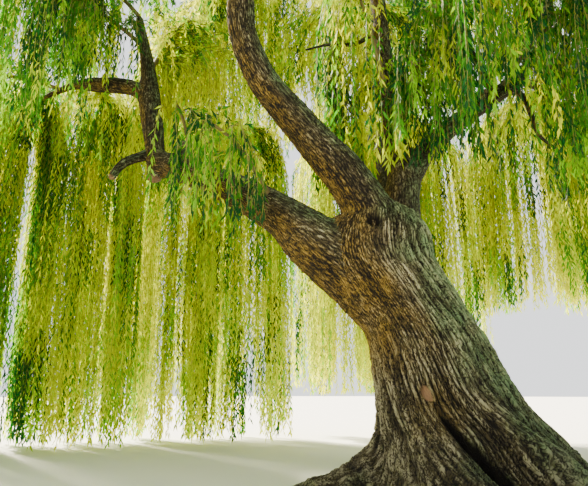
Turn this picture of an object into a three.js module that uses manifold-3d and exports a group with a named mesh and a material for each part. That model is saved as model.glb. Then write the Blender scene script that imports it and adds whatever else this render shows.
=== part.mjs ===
// A weeping willow: a leaning, root-flared trunk that forks low into a left limb, a curved bough and
// a leader, and masses of long hanging foliage round the open space under the crown.
// Millimetres, +Z up. The origin is the middle of the flat cut at ground level, under the trunk.
// +X is to the right and +Y away from the viewer, who stands under the front of the crown.
import * as THREE from "three";
import { mergeVertices } from "three/addons/utils/BufferGeometryUtils.js";
import Module from "manifold-3d";

const wasm = await Module();
wasm.setup();

// Driving dimensions of the crown
const CROWN_AXIS = [-1500, 700]; // the middle of the crown in plan: the trunk leans to the left
const WATER_SIDE_DEG = 95; // the side on which the curtains hang lowest and nearest to the trunk
const VAULT_HEIGHT = 5600; // the open space under the crown is a dome of this height
const VAULT_RADIUS = 5600; // and of this mean radius in plan
const VAULT_SHIFT = 1250; // smaller by this on the water side, larger by it on the other
const JOINT_GAP = 0.3; // clear space between two solids that meet
const SAFE_GAP = 60; // clear space between foliage and any limb or the next mass
const HEADROOM = 300; // height above a stem that still belongs to its mass

// Driving dimensions of the trunk: height, middle in plan, half width and half depth
const TRUNK_SECTIONS = [
  { z: 0, x: 0, y: 0, wide: 930, deep: 800 },
  { z: 250, x: -20, y: 0, wide: 830, deep: 730 },
  { z: 550, x: -90, y: 0, wide: 750, deep: 670 },
  { z: 850, x: -220, y: 0, wide: 680, deep: 620 },
  { z: 1200, x: -330, y: 20, wide: 625, deep: 570 },
  { z: 1600, x: -470, y: 50, wide: 580, deep: 535 },
  { z: 2000, x: -700, y: 80, wide: 590, deep: 520 },
  { z: 2350, x: -890, y: 90, wide: 590, deep: 500 },
  { z: 2700, x: -890, y: 95, wide: 510, deep: 430 },
  { z: 2960, x: -830, y: 95, wide: 300, deep: 270 },
];
const TRUNK_SIDES = 48;
const TRUNK_STEPS = 17;
const RING_CROWDING = 1.25; // above 1 the trunk's rings stand closer in the root flare

// Root flare: direction, reach beyond the trunk at ground level, half angle and height
const BUTTRESSES = [
  { deg: 182, reach: 1150, half: 0.27, tall: 270 },
  { deg: 2, reach: 520, half: 0.34, tall: 300 },
  { deg: -50, reach: 400, half: 0.3, tall: 260 },
  { deg: -112, reach: 330, half: 0.42, tall: 330 },
  { deg: -145, reach: 300, half: 0.26, tall: 220 },
  { deg: 52, reach: 380, half: 0.32, tall: 250 },
  { deg: 98, reach: 320, half: 0.3, tall: 230 },
  { deg: 138, reach: 340, half: 0.3, tall: 240 },
];
const FLUTE_DEPTH = 46; // how far the buttresses still stand out as ridges further up
const FLUTE_HEIGHT = 1300;
const TRUNK_TWIST = 0.55; // radians by which the flutes wind round, from the ground up
const TWIST_HEIGHT = 600;

// Limbs: the route that each one follows and its radius at each point of the route
const LIMBS = [
  {
    name: "left_limb",
    route: [
      [-1000, 60, 2100],
      [-1570, 100, 2570],
      [-2000, 300, 2990],
      [-2690, 900, 3540],
      [-3510, 1800, 4160],
      [-3930, 2110, 4400],
    ],
    radii: [360, 315, 236, 205, 178, 158],
    sides: 12,
    steps: 10,
  },
  {
    name: "curved_bough",
    route: [
      [-880, 40, 2350],
      [-950, 0, 2830],
      [-1240, -100, 3300],
      [-1730, -200, 3850],
      [-2150, -310, 4360],
      [-2370, -400, 4860],
      [-2420, -480, 5400],
      [-2600, -700, 6300],
    ],
    radii: [290, 268, 243, 196, 170, 153, 148, 118],
    sides: 12,
    steps: 12,
  },
  {
    name: "leader",
    route: [
      [-700, 90, 2350],
      [-560, 200, 2950],
      [-500, 450, 3650],
      [-550, 750, 4760],
      [-570, 1000, 5950],
      [-700, 1050, 8000],
      [-1100, 950, 10500],
    ],
    radii: [230, 190, 166, 130, 106, 86, 50],
    sides: 8,
    steps: 9,
  },
  {
    name: "right_bough",
    route: [
      [-560, 300, 3200],
      [-80, 650, 3980],
      [590, 1000, 4630],
      [1340, 1400, 5290],
      [1760, 1620, 5780],
      [2200, 1850, 6700],
      [2500, 2000, 7500],
    ],
    radii: [150, 130, 118, 108, 88, 74, 50],
    sides: 8,
    steps: 9,
  },
  {
    name: "left_upright_bough",
    route: [
      [-3880, 2090, 4150],
      [-4000, 2180, 4850],
      [-4130, 2300, 5480],
      [-4240, 2400, 6200],
      [-4500, 2550, 7300],
    ],
    radii: [120, 158, 170, 118, 55],
    sides: 10,
    steps: 8,
  },
  {
    name: "left_side_bough",
    route: [
      [-4130, 2300, 5560],
      [-4480, 2350, 5800],
      [-5080, 2500, 5940],
      [-5600, 2750, 6070],
      [-6310, 3200, 6090],
    ],
    radii: [110, 122, 122, 66, 38],
    sides: 8,
    steps: 7,
  },
  {
    name: "low_left_branch",
    route: [
      [-4000, 2130, 4540],
      [-4330, 1900, 4290],
      [-4480, 1750, 3970],
    ],
    radii: [80, 68, 52],
    sides: 8,
    steps: 4,
  },
  {
    name: "left_back_bough",
    route: [
      [-3480, 1770, 4140],
      [-3750, 3200, 5150],
      [-4200, 4600, 5700],
    ],
    radii: [110, 85, 45],
    sides: 8,
    steps: 5,
  },
  {
    name: "back_bough",
    route: [
      [-600, 250, 2950],
      [-500, 1500, 4000],
      [-350, 3300, 5300],
      [-300, 4900, 6100],
    ],
    radii: [170, 138, 98, 48],
    sides: 8,
    steps: 6,
  },
  {
    name: "thin_branch",
    route: [
      [-570, 990, 5960],
      [-950, 850, 5600],
      [-1280, 600, 5430],
      [-1670, 400, 5200],
    ],
    radii: [36, 29, 21, 11],
    sides: 6,
    steps: 5,
  },
  {
    name: "right_hooked_branch",
    route: [
      [1250, 1350, 5220],
      [1560, 1500, 5160],
      [1720, 1640, 4900],
      [1900, 1850, 4700],
      [2380, 2200, 4580],
    ],
    radii: [46, 44, 38, 28, 15],
    sides: 6,
    steps: 7,
  },
  {
    name: "right_rising_bough",
    route: [
      [1050, 1240, 5030],
      [850, 1300, 5600],
      [650, 1350, 6200],
      [620, 1500, 7300],
    ],
    radii: [62, 54, 47, 34],
    sides: 6,
    steps: 5,
  },
  {
    name: "right_outer_bough",
    route: [
      [1300, 1370, 5250],
      [2050, 2300, 5850],
      [2900, 3300, 6100],
    ],
    radii: [82, 64, 40],
    sides: 8,
    steps: 4,
  },
  {
    name: "front_right_bough",
    route: [
      [-600, 1010, 6600],
      [650, 0, 7350],
      [2200, -1400, 7700],
    ],
    radii: [92, 76, 45],
    sides: 8,
    steps: 5,
  },
  {
    name: "front_bough",
    route: [
      [-2560, -640, 6150],
      [-2350, -1900, 7200],
      [-2100, -3400, 7700],
    ],
    radii: [108, 84, 45],
    sides: 8,
    steps: 5,
  },
  {
    name: "front_left_bough",
    route: [
      [-2590, -690, 6250],
      [-3700, -1100, 7300],
      [-5000, -1700, 7700],
    ],
    radii: [110, 84, 45],
    sides: 8,
    steps: 5,
  },
  {
    name: "high_back_left_bough",
    route: [
      [-660, 1040, 7300],
      [-1900, 2200, 8500],
      [-2900, 3200, 8800],
    ],
    radii: [76, 60, 38],
    sides: 8,
    steps: 5,
  },
  {
    name: "high_back_right_bough",
    route: [
      [-640, 1040, 6900],
      [100, 2200, 8100],
      [700, 3400, 8600],
    ],
    radii: [78, 60, 38],
    sides: 8,
    steps: 5,
  },
];

// Masses of foliage. Each grows from a share along a limb, and its stem arches out to a place given
// by direction and distance from the crown's axis and by height. The whips hang from the stem, down
// to low or, unless the mass is an inner one, to the open space under the crown. spread is how far
// they stand to either side. The columns are name, limb, share, direction in degrees, distance,
// height, arch, low, spread, and true for an inner mass.
const MASSES = [
  ["curtain_left_end", "left_side_bough", 1, 143.5, 7500, 6500, 600, 150, 800],
  ["curtain_left", "left_side_bough", 0.55, 129, 6900, 6300, 600, 130, 750],
  ["curtain_back_left", "left_back_bough", 1, 115, 6700, 6700, 600, 130, 1000],
  ["curtain_back_inner", "left_back_bough", 0.6, 100, 6400, 6900, 800, 130, 1000],
  ["curtain_back", "back_bough", 1, 84, 7400, 7100, 700, 1000, 1250],
  ["curtain_back_right", "back_bough", 0.72, 66, 7200, 6900, 1000, 2000, 1250],
  ["curtain_right_back", "right_outer_bough", 1, 48, 7200, 6700, 700, 2600, 1250],
  ["curtain_right", "right_outer_bough", 0.55, 28, 7200, 6600, 900, 2500, 1250],
  ["curtain_right_side", "right_bough", 0.78, 6, 7100, 6400, 800, 2400, 1400],
  ["curtain_front_right_side", "front_right_bough", 1, -18, 7700, 5900, 800, 2200, 1400],
  ["curtain_front_right", "front_right_bough", 0.85, -42, 7300, 6200, 600, 2300, 1400],
  ["curtain_front_right_end", "front_right_bough", 0.6, -67, 7700, 6000, 900, 2300, 1400],
  ["curtain_front", "front_bough", 1, -93, 7200, 6800, 900, 2500, 1400],
  ["curtain_front_left", "front_bough", 0.75, -118, 7900, 5900, 1100, 2100, 1400],
  ["curtain_left_front", "front_left_bough", 0.9, -143, 7300, 6200, 500, 1700, 1400],
  ["curtain_left_side", "front_left_bough", 1, -168, 7700, 6000, 800, 900, 1400],
  ["curtain_left_outer", "left_side_bough", 0.85, 167, 7500, 6000, 500, 400, 1150],
  ["tier_left", "left_upright_bough", 1, 155, 5700, 8500, 900, 6000, 1500],
  ["tier_back_left", "high_back_left_bough", 1, 108, 5200, 9300, 700, 6400, 1600],
  ["tier_back_right", "high_back_right_bough", 1, 60, 5400, 9100, 700, 6300, 1700],
  ["tier_right", "right_bough", 1, 20, 5400, 8700, 900, 6400, 1600],
  ["tier_front_right", "front_right_bough", 0.45, -33, 5700, 8800, 1300, 6500, 1500],
  ["tier_front", "front_bough", 0.5, -82, 5000, 9400, 1200, 6500, 1500],
  ["tier_front_left", "front_left_bough", 0.55, -133, 5800, 8400, 1400, 6400, 1500],
  ["tier_far_left", "front_left_bough", 0.7, -175, 5300, 9100, 900, 6200, 1400],
  ["crest_right", "leader", 0.94, 24, 3900, 10600, 1100, 7900, 1600],
  ["crest_back", "leader", 0.92, 84, 4200, 10300, 1500, 7400, 1600],
  ["crest_left", "leader", 0.96, 142, 4600, 9500, 1900, 7100, 1600],
  ["crest_front_left", "leader", 0.9, -120, 3400, 10800, 1000, 7900, 1500],
  ["crest_front_right", "leader", 0.88, -48, 4700, 9600, 1900, 7500, 1500],
  ["crest_top", "leader", 1, -150, 1500, 11800, 900, 9400, 1600],
  ["spray_left_limb", "left_limb", 0.72, -172, 1780, 4450, 250, 3050, 500, true],
  ["spray_leader", "leader", 0.42, -40, 2300, 5600, 500, 3500, 650, true],
  ["spray_right_bough", "right_bough", 0.45, -14, 3500, 5600, 500, 3600, 700, true],
  ["tier_upright", "left_upright_bough", 0.7, 128, 3700, 8000, 500, 4900, 1400, true],
  ["tier_back", "leader", 0.72, 86, 5500, 8600, 900, 6200, 1400],
  ["spray_upright", "left_upright_bough", 0.85, -178, 4200, 6500, 400, 4400, 800, true],
  ["spray_middle", "leader", 0.46, -30, 550, 6300, 350, 3500, 750, true],
  ["spray_over_limb", "left_limb", 0.4, -139, 1600, 3800, 350, 2700, 450, true],
  ["spray_rising", "right_rising_bough", 0.85, -9, 3250, 7300, 300, 5700, 900, true],
  ["crest_far_left", "leader", 0.84, -163, 4400, 10100, 1200, 8200, 1400],
].map(([name, limb, at, deg, far, high, arch, low, spread, inner]) => {
  return { name, limb, at, deg, far, high, arch, low, spread, inner };
});

// Sizes of the stems, whips and leaf sprays. A spray takes up its share of the whip's hanging part.
const STEM = { radii: [38, 16], sides: 4, steps: 3, bare: 0.28 };
const WHIP = { radii: [18, 11], sides: 3, steps: 2, shortest: 600, shorter: [0, 0.25, 0.5, 0.7] };
const WHIPS = 5; // on each stem, and one more on its end
const SPRAY = { share: 0.78, widest: 260, wide: 0.12, thick: 0.28, sunk: 0.2 };

const up = new THREE.Vector3(0, 0, 1);
const radians = (deg) => (deg * Math.PI) / 180;

// A seeded number from 0 to 1 for draw k of thing i.
function draw(seed, i, k) {
  let h = Math.imul(seed + 1, 73856093) ^ Math.imul(i + 1, 19349663) ^ Math.imul(k + 1, 83492791);
  h = Math.imul(h ^ (h >>> 16), 2246822507);
  h = Math.imul(h ^ (h >>> 13), 3266489909);
  return ((h ^ (h >>> 16)) >>> 0) / 4294967296;
}

// A value that runs in straight steps through a list, at a share from 0 to 1.
function along(values, share) {
  const place = Math.min(Math.max(share, 0), 1) * (values.length - 1);
  const i = Math.min(Math.floor(place), values.length - 2);
  return values[i] + (values[i + 1] - values[i]) * (place - i);
}

const curveThrough = (points) => new THREE.CatmullRomCurve3(points, false, "catmullrom", 0.5);

// A geometry with only positions, as a manifold solid.
function solid(geometry) {
  geometry.deleteAttribute("normal");
  geometry.deleteAttribute("uv");
  const merged = mergeVertices(geometry, 1e-3);
  return new wasm.Manifold(
    new wasm.Mesh({
      numProp: 3,
      vertProperties: merged.attributes.position.array,
      triVerts: new Uint32Array(merged.index.array),
    }),
  );
}

function meshOf(name, made, material) {
  const { numProp, vertProperties, triVerts } = made.getMesh();
  const places = new Float32Array((vertProperties.length / numProp) * 3);
  for (let i = 0; i < places.length / 3; i++)
    places.set(vertProperties.subarray(i * numProp, i * numProp + 3), i * 3);
  const geometry = new THREE.BufferGeometry()
    .setAttribute("position", new THREE.BufferAttribute(places, 3))
    .setIndex(new THREE.BufferAttribute(triVerts, 1));
  const mesh = new THREE.Mesh(geometry, material);
  mesh.name = name;
  return mesh;
}

// A solid less what lies in the others, and less the scraps that this leaves.
function cutBy(made, others) {
  for (const other of others) made = made.subtract(other);
  return made.decompose().sort((a, b) => b.volume() - a.volume())[0];
}

// A cylinder bent along a curve, of a radius that changes along it, longer by over at both ends.
function bentCylinder(curve, radii, sides, steps, over = 0) {
  const geometry = new THREE.CylinderGeometry(1, 1, 1, sides, steps);
  const chord = curve.getPoint(1).sub(curve.getPoint(0)).normalize();
  const side = Math.abs(chord.z) > 0.8 ? new THREE.Vector3(0, 1, 0) : up;
  const position = geometry.attributes.position;
  for (let i = 0; i < position.count; i++) {
    const share = position.getY(i) + 0.5;
    const tangent = curve.getTangent(Math.min(Math.max(share, 1e-4), 1 - 1e-4));
    const across = new THREE.Vector3().crossVectors(side, tangent).normalize();
    const other = new THREE.Vector3().crossVectors(across, tangent);
    const radius = along(radii, share) + over;
    const place = curve.getPoint(share).addScaledVector(across, position.getX(i) * radius);
    place.addScaledVector(other, position.getZ(i) * radius);
    if (share < 1e-6) place.addScaledVector(tangent, -over);
    if (share > 1 - 1e-6) place.addScaledVector(tangent, over);
    position.setXYZ(i, place.x, place.y, place.z);
  }
  return solid(geometry);
}

// How far the root flare and its flutes stand out beyond the trunk's half widths.
function trunkFlare(z, angle) {
  const twist = TRUNK_TWIST * (1 - Math.exp(-z / TWIST_HEIGHT));
  let reach = 0;
  for (const root of BUTTRESSES) {
    const turn = angle + twist - radians(root.deg);
    const lobe = Math.exp(-((Math.atan2(Math.sin(turn), Math.cos(turn)) / root.half) ** 2));
    reach += lobe * (root.reach * Math.exp(-z / root.tall) + FLUTE_DEPTH * Math.exp(-z / FLUTE_HEIGHT));
  }
  return reach;
}

function trunkSection(z) {
  const upper = Math.max(1, TRUNK_SECTIONS.findIndex((section) => section.z >= z - 1e-6));
  const a = TRUNK_SECTIONS[upper - 1];
  const b = TRUNK_SECTIONS[upper];
  const mix = (key) => a[key] + ((b[key] - a[key]) * (z - a.z)) / (b.z - a.z);
  return { x: mix("x"), y: mix("y"), wide: mix("wide"), deep: mix("deep") };
}

// The trunk stands on a flat cut at the ground. Its sections are level, so that it leans by shear.
function trunkSolid(over = 0) {
  const geometry = new THREE.CylinderGeometry(1, 1, 1, TRUNK_SIDES, TRUNK_STEPS);
  const top = TRUNK_SECTIONS[TRUNK_SECTIONS.length - 1].z;
  const position = geometry.attributes.position;
  for (let i = 0; i < position.count; i++) {
    const share = position.getY(i) + 0.5;
    const z = top * share ** RING_CROWDING;
    const radius = Math.hypot(position.getX(i), position.getZ(i));
    const angle = Math.atan2(-position.getZ(i), position.getX(i));
    const section = trunkSection(z);
    const reach = trunkFlare(z, angle) + over;
    position.setXYZ(
      i,
      section.x + radius * (section.wide + reach) * Math.cos(angle),
      section.y + radius * (section.deep + reach) * Math.sin(angle),
      z + (share > 1 - 1e-6 ? over : 0),
    );
  }
  return solid(geometry);
}

// The height that foliage stays above, at a place in plan: the open space under the crown.
function vault(x, y) {
  const dx = x - CROWN_AXIS[0];
  const dy = y - CROWN_AXIS[1];
  const turn = Math.atan2(dy, dx) - radians(WATER_SIDE_DEG);
  const share = Math.hypot(dx, dy) / (VAULT_RADIUS - VAULT_SHIFT * Math.cos(turn));
  return share < 1 ? VAULT_HEIGHT * Math.sqrt(1 - share * share) : 0;
}

// A mass's stem: it arches, in straight steps, from its limb out to the end that its row gives.
function stemOf(mass) {
  const start = LIMBS.find((limb) => limb.name === mass.limb).curve.getPoint(mass.at);
  const end = new THREE.Vector3(
    CROWN_AXIS[0] + mass.far * Math.cos(radians(mass.deg)),
    CROWN_AXIS[1] + mass.far * Math.sin(radians(mass.deg)),
    mass.high,
  );
  const middle = start.clone().add(end).multiplyScalar(0.5).addScaledVector(up, mass.arch);
  const stem = new THREE.CurvePath();
  const joints = new THREE.QuadraticBezierCurve3(start, middle, end).getPoints(STEM.steps);
  for (let i = 0; i < STEM.steps; i++) stem.add(new THREE.LineCurve3(joints[i], joints[i + 1]));
  return stem;
}

// The route of one whip: out from the stem to a shoulder, then straight down to its foot.
function whipOf(mass, seed, i) {
  const last = i === WHIPS;
  const t = last ? 1 : STEM.bare + ((1 - STEM.bare) * (i + 0.3 + 0.4 * draw(seed, i, 0))) / WHIPS;
  const start = mass.stem.getPoint(t);
  const ahead = mass.stem.getTangent(t).setZ(0).normalize();
  const aside = new THREE.Vector3(-ahead.y, ahead.x, 0).multiplyScalar(i % 2 ? 1 : -1);
  const out = aside.addScaledVector(ahead, last ? 6 : 0.3).normalize();
  const reach = mass.spread * (last ? 0.3 : 0.45 + 0.5 * draw(seed, i, 1));
  const shoulder = start.clone().addScaledVector(out, reach).addScaledVector(up, -0.12 * reach);
  const foot = shoulder.clone().addScaledVector(out, 0.1 * reach);
  const lift = i % 3 ? 0.2 * (shoulder.z - mass.low) * draw(seed, i, 2) : 0;
  foot.z = Math.max(mass.low + lift, mass.inner ? 0 : vault(foot.x, foot.y));
  return foot.z < shoulder.z - WHIP.shortest ? { start, shoulder, foot } : null;
}

// The distance in plan from a point to the nearest of a line's points, and that point's height.
function nearestOf(line, p) {
  let near = { away: Infinity };
  for (const q of line) {
    const away = Math.hypot(p.x - q.x, p.y - q.y);
    if (away < near.away) near = { away, z: q.z };
  }
  return near;
}

// Whether a point of a mass is clear of every limb and stays in the mass's own space.
function isClear(p, mass, width) {
  for (const limb of LIMBS)
    for (const ring of limb.rings)
      if (ring.place.distanceTo(p) < ring.radius + width + SAFE_GAP) return false;
  const own = nearestOf(mass.line, p).away;
  for (const other of MASSES) {
    if (other === mass || p.z < other.low - SAFE_GAP) continue;
    const near = nearestOf(other.line, p);
    if (p.z < near.z + HEADROOM && near.away < own + SAFE_GAP + width) return false;
  }
  return p.z > mass.low - SAFE_GAP;
}

// A spray of leaves: a long thin blade with eight faces, from its top down to its foot.
function spraySolid(top, foot) {
  const length = top.distanceTo(foot);
  const width = Math.min(length * SPRAY.wide, SPRAY.widest);
  const geometry = new THREE.OctahedronGeometry(0.5);
  geometry.scale(width, width * SPRAY.thick, length);
  geometry.rotateZ(top.x + top.y); // each blade faces its own way
  const down = foot.clone().sub(top).normalize();
  geometry.applyQuaternion(new THREE.Quaternion().setFromUnitVectors(up.clone().negate(), down));
  const middle = top.clone().lerp(foot, 0.5);
  geometry.translate(middle.x, middle.y, middle.z);
  return solid(geometry);
}

// One whip, which ends inside the spray that it carries. Where another mass or a limb is in its way
// it is shorter, and where that isn't enough it is left out.
function whipSolids(mass, seed, i) {
  const route = whipOf(mass, seed, i);
  if (!route) return [];
  const { start, shoulder } = route;
  const elbow = start.clone().lerp(shoulder, 0.5);
  for (const share of WHIP.shorter) {
    const foot = route.foot.clone().lerp(shoulder, share);
    const top = foot.clone().lerp(shoulder, SPRAY.share);
    const end = top.clone().lerp(foot, SPRAY.sunk);
    const middle = top.clone().lerp(foot, 0.5);
    if (shoulder.z - foot.z < WHIP.shortest || !isClear(middle, mass, SPRAY.widest / 2)) continue;
    if (![elbow, shoulder, top, foot].every((p) => isClear(p, mass, WHIP.radii[0]))) continue;
    const line = curveThrough([start, shoulder, end]);
    return [bentCylinder(line, WHIP.radii, WHIP.sides, WHIP.steps), spraySolid(top, foot)];
  }
  return [];
}

function massSolid(mass, seed) {
  const parts = [bentCylinder(mass.stem, STEM.radii, STEM.sides, STEM.steps)];
  for (let i = 0; i <= WHIPS; i++) parts.push(...whipSolids(mass, seed, i));
  return wasm.Manifold.union(parts);
}

const bark = new THREE.MeshStandardMaterial({ color: 0x6b5844, roughness: 0.95, metalness: 0 });
const foliage = new THREE.MeshStandardMaterial({ color: 0x86a52a, roughness: 0.6, metalness: 0 });

for (const limb of LIMBS) {
  limb.curve = curveThrough(limb.route.map((p) => new THREE.Vector3(...p)));
  limb.rings = Array.from({ length: 61 }, (_, i) => {
    return { place: limb.curve.getPoint(i / 60), radius: along(limb.radii, i / 60) };
  });
}
for (const mass of MASSES) {
  mass.stem = stemOf(mass);
  mass.line = Array.from({ length: 13 }, (_, i) => mass.stem.getPoint(0.25 + (0.75 * i) / 12));
}

// Each limb is cut back from the trunk and from the limbs before it, and each mass from them all.
const willow = new THREE.Group();
willow.add(meshOf("trunk", trunkSolid(), bark));
const grown = [trunkSolid(JOINT_GAP * 1.2)];
for (const limb of LIMBS) {
  const made = bentCylinder(limb.curve, limb.radii, limb.sides, limb.steps);
  willow.add(meshOf(limb.name, cutBy(made, grown), bark));
  grown.push(bentCylinder(limb.curve, limb.radii, limb.sides, limb.steps, JOINT_GAP * 1.2));
}
MASSES.forEach((mass, i) => willow.add(meshOf(mass.name, cutBy(massSolid(mass, i), grown), foliage)));

export default willow;
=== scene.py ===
"""A weeping willow: furrowed bark on its trunk and boughs, and curtains of whips and narrow leaves."""
import math

import bpy
import numpy as np
from bpy.props import FloatProperty, FloatVectorProperty, IntProperty, PointerProperty
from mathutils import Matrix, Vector


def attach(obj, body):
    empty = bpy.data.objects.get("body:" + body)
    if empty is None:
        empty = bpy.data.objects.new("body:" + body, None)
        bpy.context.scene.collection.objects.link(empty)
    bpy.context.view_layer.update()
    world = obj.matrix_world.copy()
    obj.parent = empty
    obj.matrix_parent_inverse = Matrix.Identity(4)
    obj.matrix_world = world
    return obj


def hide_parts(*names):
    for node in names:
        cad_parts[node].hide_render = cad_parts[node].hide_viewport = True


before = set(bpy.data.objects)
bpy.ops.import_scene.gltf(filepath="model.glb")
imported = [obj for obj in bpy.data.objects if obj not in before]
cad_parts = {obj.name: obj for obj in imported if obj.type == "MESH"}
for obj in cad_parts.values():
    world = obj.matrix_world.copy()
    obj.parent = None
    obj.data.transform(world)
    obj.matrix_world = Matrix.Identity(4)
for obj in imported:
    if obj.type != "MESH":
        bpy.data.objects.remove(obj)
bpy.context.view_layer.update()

bl_info = {
    "name": "Weeping willow",
    "version": (1, 0, 0),
    "blender": (4, 5, 0),
    "location": "View3D > Sidebar > Willow",
    "description": "Makes the bark, the whips and the leaves of a weeping willow round its solids",
    "category": "Object",
}

# The viewpoint: a wide lens a little below eye height, under the front of the crown
VIEW_FROM = (-1.8, -5.9, 1.0)
VIEW_TILT = math.radians(14.7)
VIEW_LENS_MM = 34.3
SENSOR_MM = 36

# The crown, as in the part's source, in metres
CROWN_AXIS = np.array([-1.5, 0.7])
LOW_SIDE = math.radians(95) # where the curtains hang lowest and nearest to the trunk
VAULT_HEIGHT = 5.6 # of the open space under the crown
VAULT_RADIUS = 5.6
VAULT_SHIFT = 1.25 # how much nearer its edge is on the low side, and how much further away opposite
SAFE_GAP = 0.06 # between a whip and a limb
HEADROOM = 0.3 # a whip that is so far above another mass's stem may cross it

# The trunk's sections: height, middle in plan, half width and half depth
TRUNK_SECTIONS = np.array([
    (0.00, 0.00, 0.000, 0.930, 0.800),
    (0.25, -0.02, 0.000, 0.830, 0.730),
    (0.55, -0.09, 0.000, 0.750, 0.670),
    (0.85, -0.22, 0.000, 0.680, 0.620),
    (1.20, -0.33, 0.020, 0.625, 0.570),
    (1.60, -0.47, 0.050, 0.580, 0.535),
    (2.00, -0.70, 0.080, 0.590, 0.520),
    (2.35, -0.89, 0.090, 0.590, 0.500),
    (2.70, -0.89, 0.095, 0.510, 0.430),
    (2.96, -0.83, 0.095, 0.300, 0.270),
])
TRUNK_TOP = TRUNK_SECTIONS[-1, 0]
# The root flare: direction, reach at the ground, half angle and height
BUTTRESSES = [
    (182, 1.15, 0.27, 0.27),
    (2, 0.52, 0.34, 0.30),
    (-50, 0.40, 0.30, 0.26),
    (-112, 0.33, 0.42, 0.33),
    (-145, 0.30, 0.26, 0.22),
    (52, 0.38, 0.32, 0.25),
    (98, 0.32, 0.30, 0.23),
    (138, 0.34, 0.30, 0.24),
]
# Flutes that carry the buttresses up the trunk, and how both wind round it
FLUTE_DEPTH = 0.046
FLUTE_HEIGHT = 1.3
TRUNK_TWIST = 0.55
TWIST_HEIGHT = 0.6

# The limbs: route, radius at each point of it, and the limb that it grows from
LIMBS = {
    "left_limb": (
        [(-1.0, 0.06, 2.1), (-1.57, 0.1, 2.57), (-2.0, 0.3, 2.99), (-2.69, 0.9, 3.54),
         (-3.51, 1.8, 4.16), (-3.93, 2.11, 4.4)],
        [0.36, 0.315, 0.236, 0.205, 0.178, 0.158], "trunk"),
    "curved_bough": (
        [(-0.88, 0.04, 2.35), (-0.95, 0, 2.83), (-1.24, -0.1, 3.3), (-1.73, -0.2, 3.85),
         (-2.15, -0.31, 4.36), (-2.37, -0.4, 4.86), (-2.42, -0.48, 5.4), (-2.6, -0.7, 6.3)],
        [0.29, 0.268, 0.243, 0.196, 0.17, 0.153, 0.148, 0.118], "trunk"),
    "leader": (
        [(-0.7, 0.09, 2.35), (-0.56, 0.2, 2.95), (-0.5, 0.45, 3.65), (-0.55, 0.75, 4.76),
         (-0.57, 1.0, 5.95), (-0.7, 1.05, 8.0), (-1.1, 0.95, 10.5)],
        [0.23, 0.19, 0.166, 0.13, 0.106, 0.086, 0.05], "trunk"),
    "right_bough": (
        [(-0.56, 0.3, 3.2), (-0.08, 0.65, 3.98), (0.59, 1.0, 4.63), (1.34, 1.4, 5.29),
         (1.76, 1.62, 5.78), (2.2, 1.85, 6.7), (2.5, 2.0, 7.5)],
        [0.15, 0.13, 0.118, 0.108, 0.088, 0.074, 0.05], "leader"),
    "left_upright_bough": (
        [(-3.88, 2.09, 4.15), (-4.0, 2.18, 4.85), (-4.13, 2.3, 5.48), (-4.24, 2.4, 6.2), (-4.5, 2.55, 7.3)],
        [0.12, 0.158, 0.17, 0.118, 0.055], "left_limb"),
    "left_side_bough": (
        [(-4.13, 2.3, 5.56), (-4.48, 2.35, 5.8), (-5.08, 2.5, 5.94), (-5.6, 2.75, 6.07), (-6.31, 3.2, 6.09)],
        [0.11, 0.122, 0.122, 0.066, 0.038], "left_upright_bough"),
    "low_left_branch": (
        [(-4.0, 2.13, 4.54), (-4.33, 1.9, 4.29), (-4.48, 1.75, 3.97)],
        [0.08, 0.068, 0.052], "left_upright_bough"),
    "left_back_bough": (
        [(-3.48, 1.77, 4.14), (-3.75, 3.2, 5.15), (-4.2, 4.6, 5.7)],
        [0.11, 0.085, 0.045], "left_limb"),
    "back_bough": (
        [(-0.6, 0.25, 2.95), (-0.5, 1.5, 4.0), (-0.35, 3.3, 5.3), (-0.3, 4.9, 6.1)],
        [0.17, 0.138, 0.098, 0.048], "leader"),
    "thin_branch": (
        [(-0.57, 0.99, 5.96), (-0.95, 0.85, 5.6), (-1.28, 0.6, 5.43), (-1.67, 0.4, 5.2)],
        [0.036, 0.029, 0.021, 0.011], "leader"),
    "right_hooked_branch": (
        [(1.25, 1.35, 5.22), (1.56, 1.5, 5.16), (1.72, 1.64, 4.9), (1.9, 1.85, 4.7), (2.38, 2.2, 4.58)],
        [0.046, 0.044, 0.038, 0.028, 0.015], "right_bough"),
    "right_rising_bough": (
        [(1.05, 1.24, 5.03), (0.85, 1.3, 5.6), (0.65, 1.35, 6.2), (0.62, 1.5, 7.3)],
        [0.062, 0.054, 0.047, 0.034], "right_bough"),
    "right_outer_bough": (
        [(1.3, 1.37, 5.25), (2.05, 2.3, 5.85), (2.9, 3.3, 6.1)],
        [0.082, 0.064, 0.04], "right_bough"),
    "front_right_bough": (
        [(-0.6, 1.01, 6.6), (0.65, 0, 7.35), (2.2, -1.4, 7.7)],
        [0.092, 0.076, 0.045], "leader"),
    "front_bough": (
        [(-2.56, -0.64, 6.15), (-2.35, -1.9, 7.2), (-2.1, -3.4, 7.7)],
        [0.108, 0.084, 0.045], "curved_bough"),
    "front_left_bough": (
        [(-2.59, -0.69, 6.25), (-3.7, -1.1, 7.3), (-5.0, -1.7, 7.7)],
        [0.11, 0.084, 0.045], "curved_bough"),
    "high_back_left_bough": (
        [(-0.66, 1.04, 7.3), (-1.9, 2.2, 8.5), (-2.9, 3.2, 8.8)],
        [0.076, 0.06, 0.038], "leader"),
    "high_back_right_bough": (
        [(-0.64, 1.04, 6.9), (0.1, 2.2, 8.1), (0.7, 3.4, 8.6)],
        [0.078, 0.06, 0.038], "leader"),
}

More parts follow.
